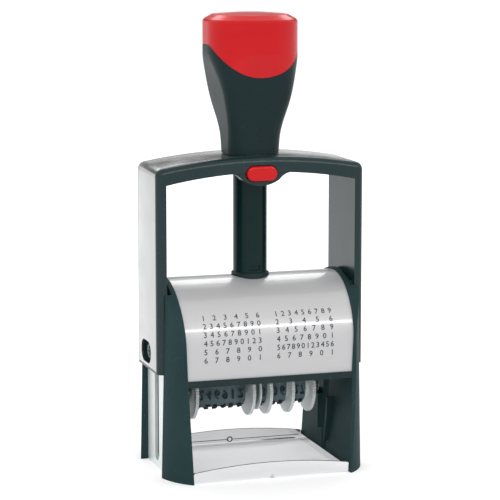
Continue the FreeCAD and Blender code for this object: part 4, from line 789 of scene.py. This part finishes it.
def makeWorld():
    world = bpy.data.worlds.new("studio")
    bpy.context.scene.world = world
    world.use_nodes = True
    tree = world.node_tree
    background = tree.nodes["Background"]
    seen = addNode(tree, "ShaderNodeLightPath")
    first = addNode(tree, "ShaderNodeMath", {0: seen.outputs["Is Camera Ray"], 1: seen.outputs["Is Glossy Ray"]},
                    operation="MAXIMUM")
    either = addNode(tree, "ShaderNodeMath", {0: first.outputs[0], 1: seen.outputs["Is Transmission Ray"]},
                     operation="MAXIMUM")
    strength = rangeOf(tree, either.outputs[0], studio["skyStrength"], 1.0)
    # a soft dark band low behind the object, above the backdrop's lit part; only reflections show it
    direction = addNode(tree, "ShaderNodeTexCoord").outputs["Generated"]
    toward = addNode(tree, "ShaderNodeSeparateXYZ", {"Vector": direction})
    low, high, highSoft = studio["bandLow"], studio["bandHigh"], studio["bandHighSoft"]
    lowSoft, lowFull = studio["bandLowSoft"]
    above = rangeOf(tree, toward.outputs["Z"], 0.0, 1.0, low - lowSoft, low + lowFull)
    below = rangeOf(tree, toward.outputs["Z"], 1.0, 0.0, high - highSoft, high + highSoft)
    behind = rangeOf(tree, toward.outputs["Y"], 0.0, studio["bandDepth"], *studio["bandBehind"])
    inBand = addNode(tree, "ShaderNodeMath", {0: above, 1: below}, operation="MULTIPLY")
    dimmed = addNode(tree, "ShaderNodeMath", {0: inBand.outputs[0], 1: behind}, operation="MULTIPLY")
    mirrored = addNode(tree, "ShaderNodeMath", {0: dimmed.outputs[0], 1: seen.outputs["Is Glossy Ray"]},
                       operation="MULTIPLY")
    kept = addNode(tree, "ShaderNodeMath", {0: 1.0, 1: mirrored.outputs[0]}, operation="SUBTRACT")
    level = addNode(tree, "ShaderNodeMath", {0: strength, 1: kept.outputs[0]}, operation="MULTIPLY")
    tree.links.new(level.outputs[0], background.inputs["Strength"])
    background.inputs["Color"].default_value = (1, 1, 1, 1)


lamps = {
    # name: (place, aim, width, height, watts)
    "keyLeft": ((-0.5, -0.75, 0.6), (0, 0, 0.08), 0.7, 0.7, 1.8),
    "topSoft": ((0.05, -0.1, 0.95), (0, 0, 0.08), 2.0, 1.6, 4.5),
    "rimBack": ((0.1, 0.85, 0.75), (0, 0, 0.1), 1.1, 0.35, 3.2),
    "fillRight": ((0.8, -0.4, 0.3), (0, 0, 0.08), 0.6, 0.8, 0.6),
    "stripFront": ((0.32, -1.0, 0.66), (0, 0, 0.05), 1.3, 0.12, 5.0),
}


def makeLamps():
    for name, (place, aim, width, height, watts) in lamps.items():
        data = bpy.data.lights.new(name, "AREA")
        data.shape = "RECTANGLE"
        data.size, data.size_y = width, height
        data.energy = watts
        lamp = bpy.data.objects.new(name, data)
        # the strip shows only as a reflection, and of the soft lamps only the rear one shows in reflections
        lamp.visible_glossy = name in ("stripFront", "rimBack")
        lamp.visible_diffuse = name != "stripFront"
        bpy.context.scene.collection.objects.link(lamp)
        toward = Vector(aim) - Vector(place)
        turn = toward.to_track_quat("-Z", "Y").to_matrix().to_4x4()
        lamp.matrix_world = Matrix.Translation(place) @ turn


cameraSetup = {
    "yaw": 17.522, "pitch": 9.008, "distance": 0.85728, "targetAcross": 0.00004, "targetUp": 0.08126,
    "focalPixels": 2283.23, "pixels": 500, "sensor": 36, "nearest": 0.01,
}


def makeCamera():
    yaw, pitch = math.radians(cameraSetup["yaw"]), math.radians(cameraSetup["pitch"])
    ahead = Vector((math.sin(yaw) * math.cos(pitch), math.cos(yaw) * math.cos(pitch), -math.sin(pitch)))
    across = Vector((math.cos(yaw), -math.sin(yaw), 0))
    target = across * cameraSetup["targetAcross"] + Vector((0, 0, cameraSetup["targetUp"]))
    data = bpy.data.cameras.new("camera")
    data.sensor_width = cameraSetup["sensor"]
    data.lens = cameraSetup["focalPixels"] / cameraSetup["pixels"] * data.sensor_width
    data.clip_start = cameraSetup["nearest"]
    camera = bpy.data.objects.new("camera", data)
    bpy.context.scene.collection.objects.link(camera)
    camera.matrix_world = (Matrix.Translation(target - ahead * cameraSetup["distance"])
                           @ ahead.to_track_quat("-Z", "Y").to_matrix().to_4x4())
    bpy.context.scene.camera = camera


makeCamera()
makeFloor()
makeWorld()
makeLamps()
bpy.context.scene.view_settings.view_transform = "Standard"
print("studio made")

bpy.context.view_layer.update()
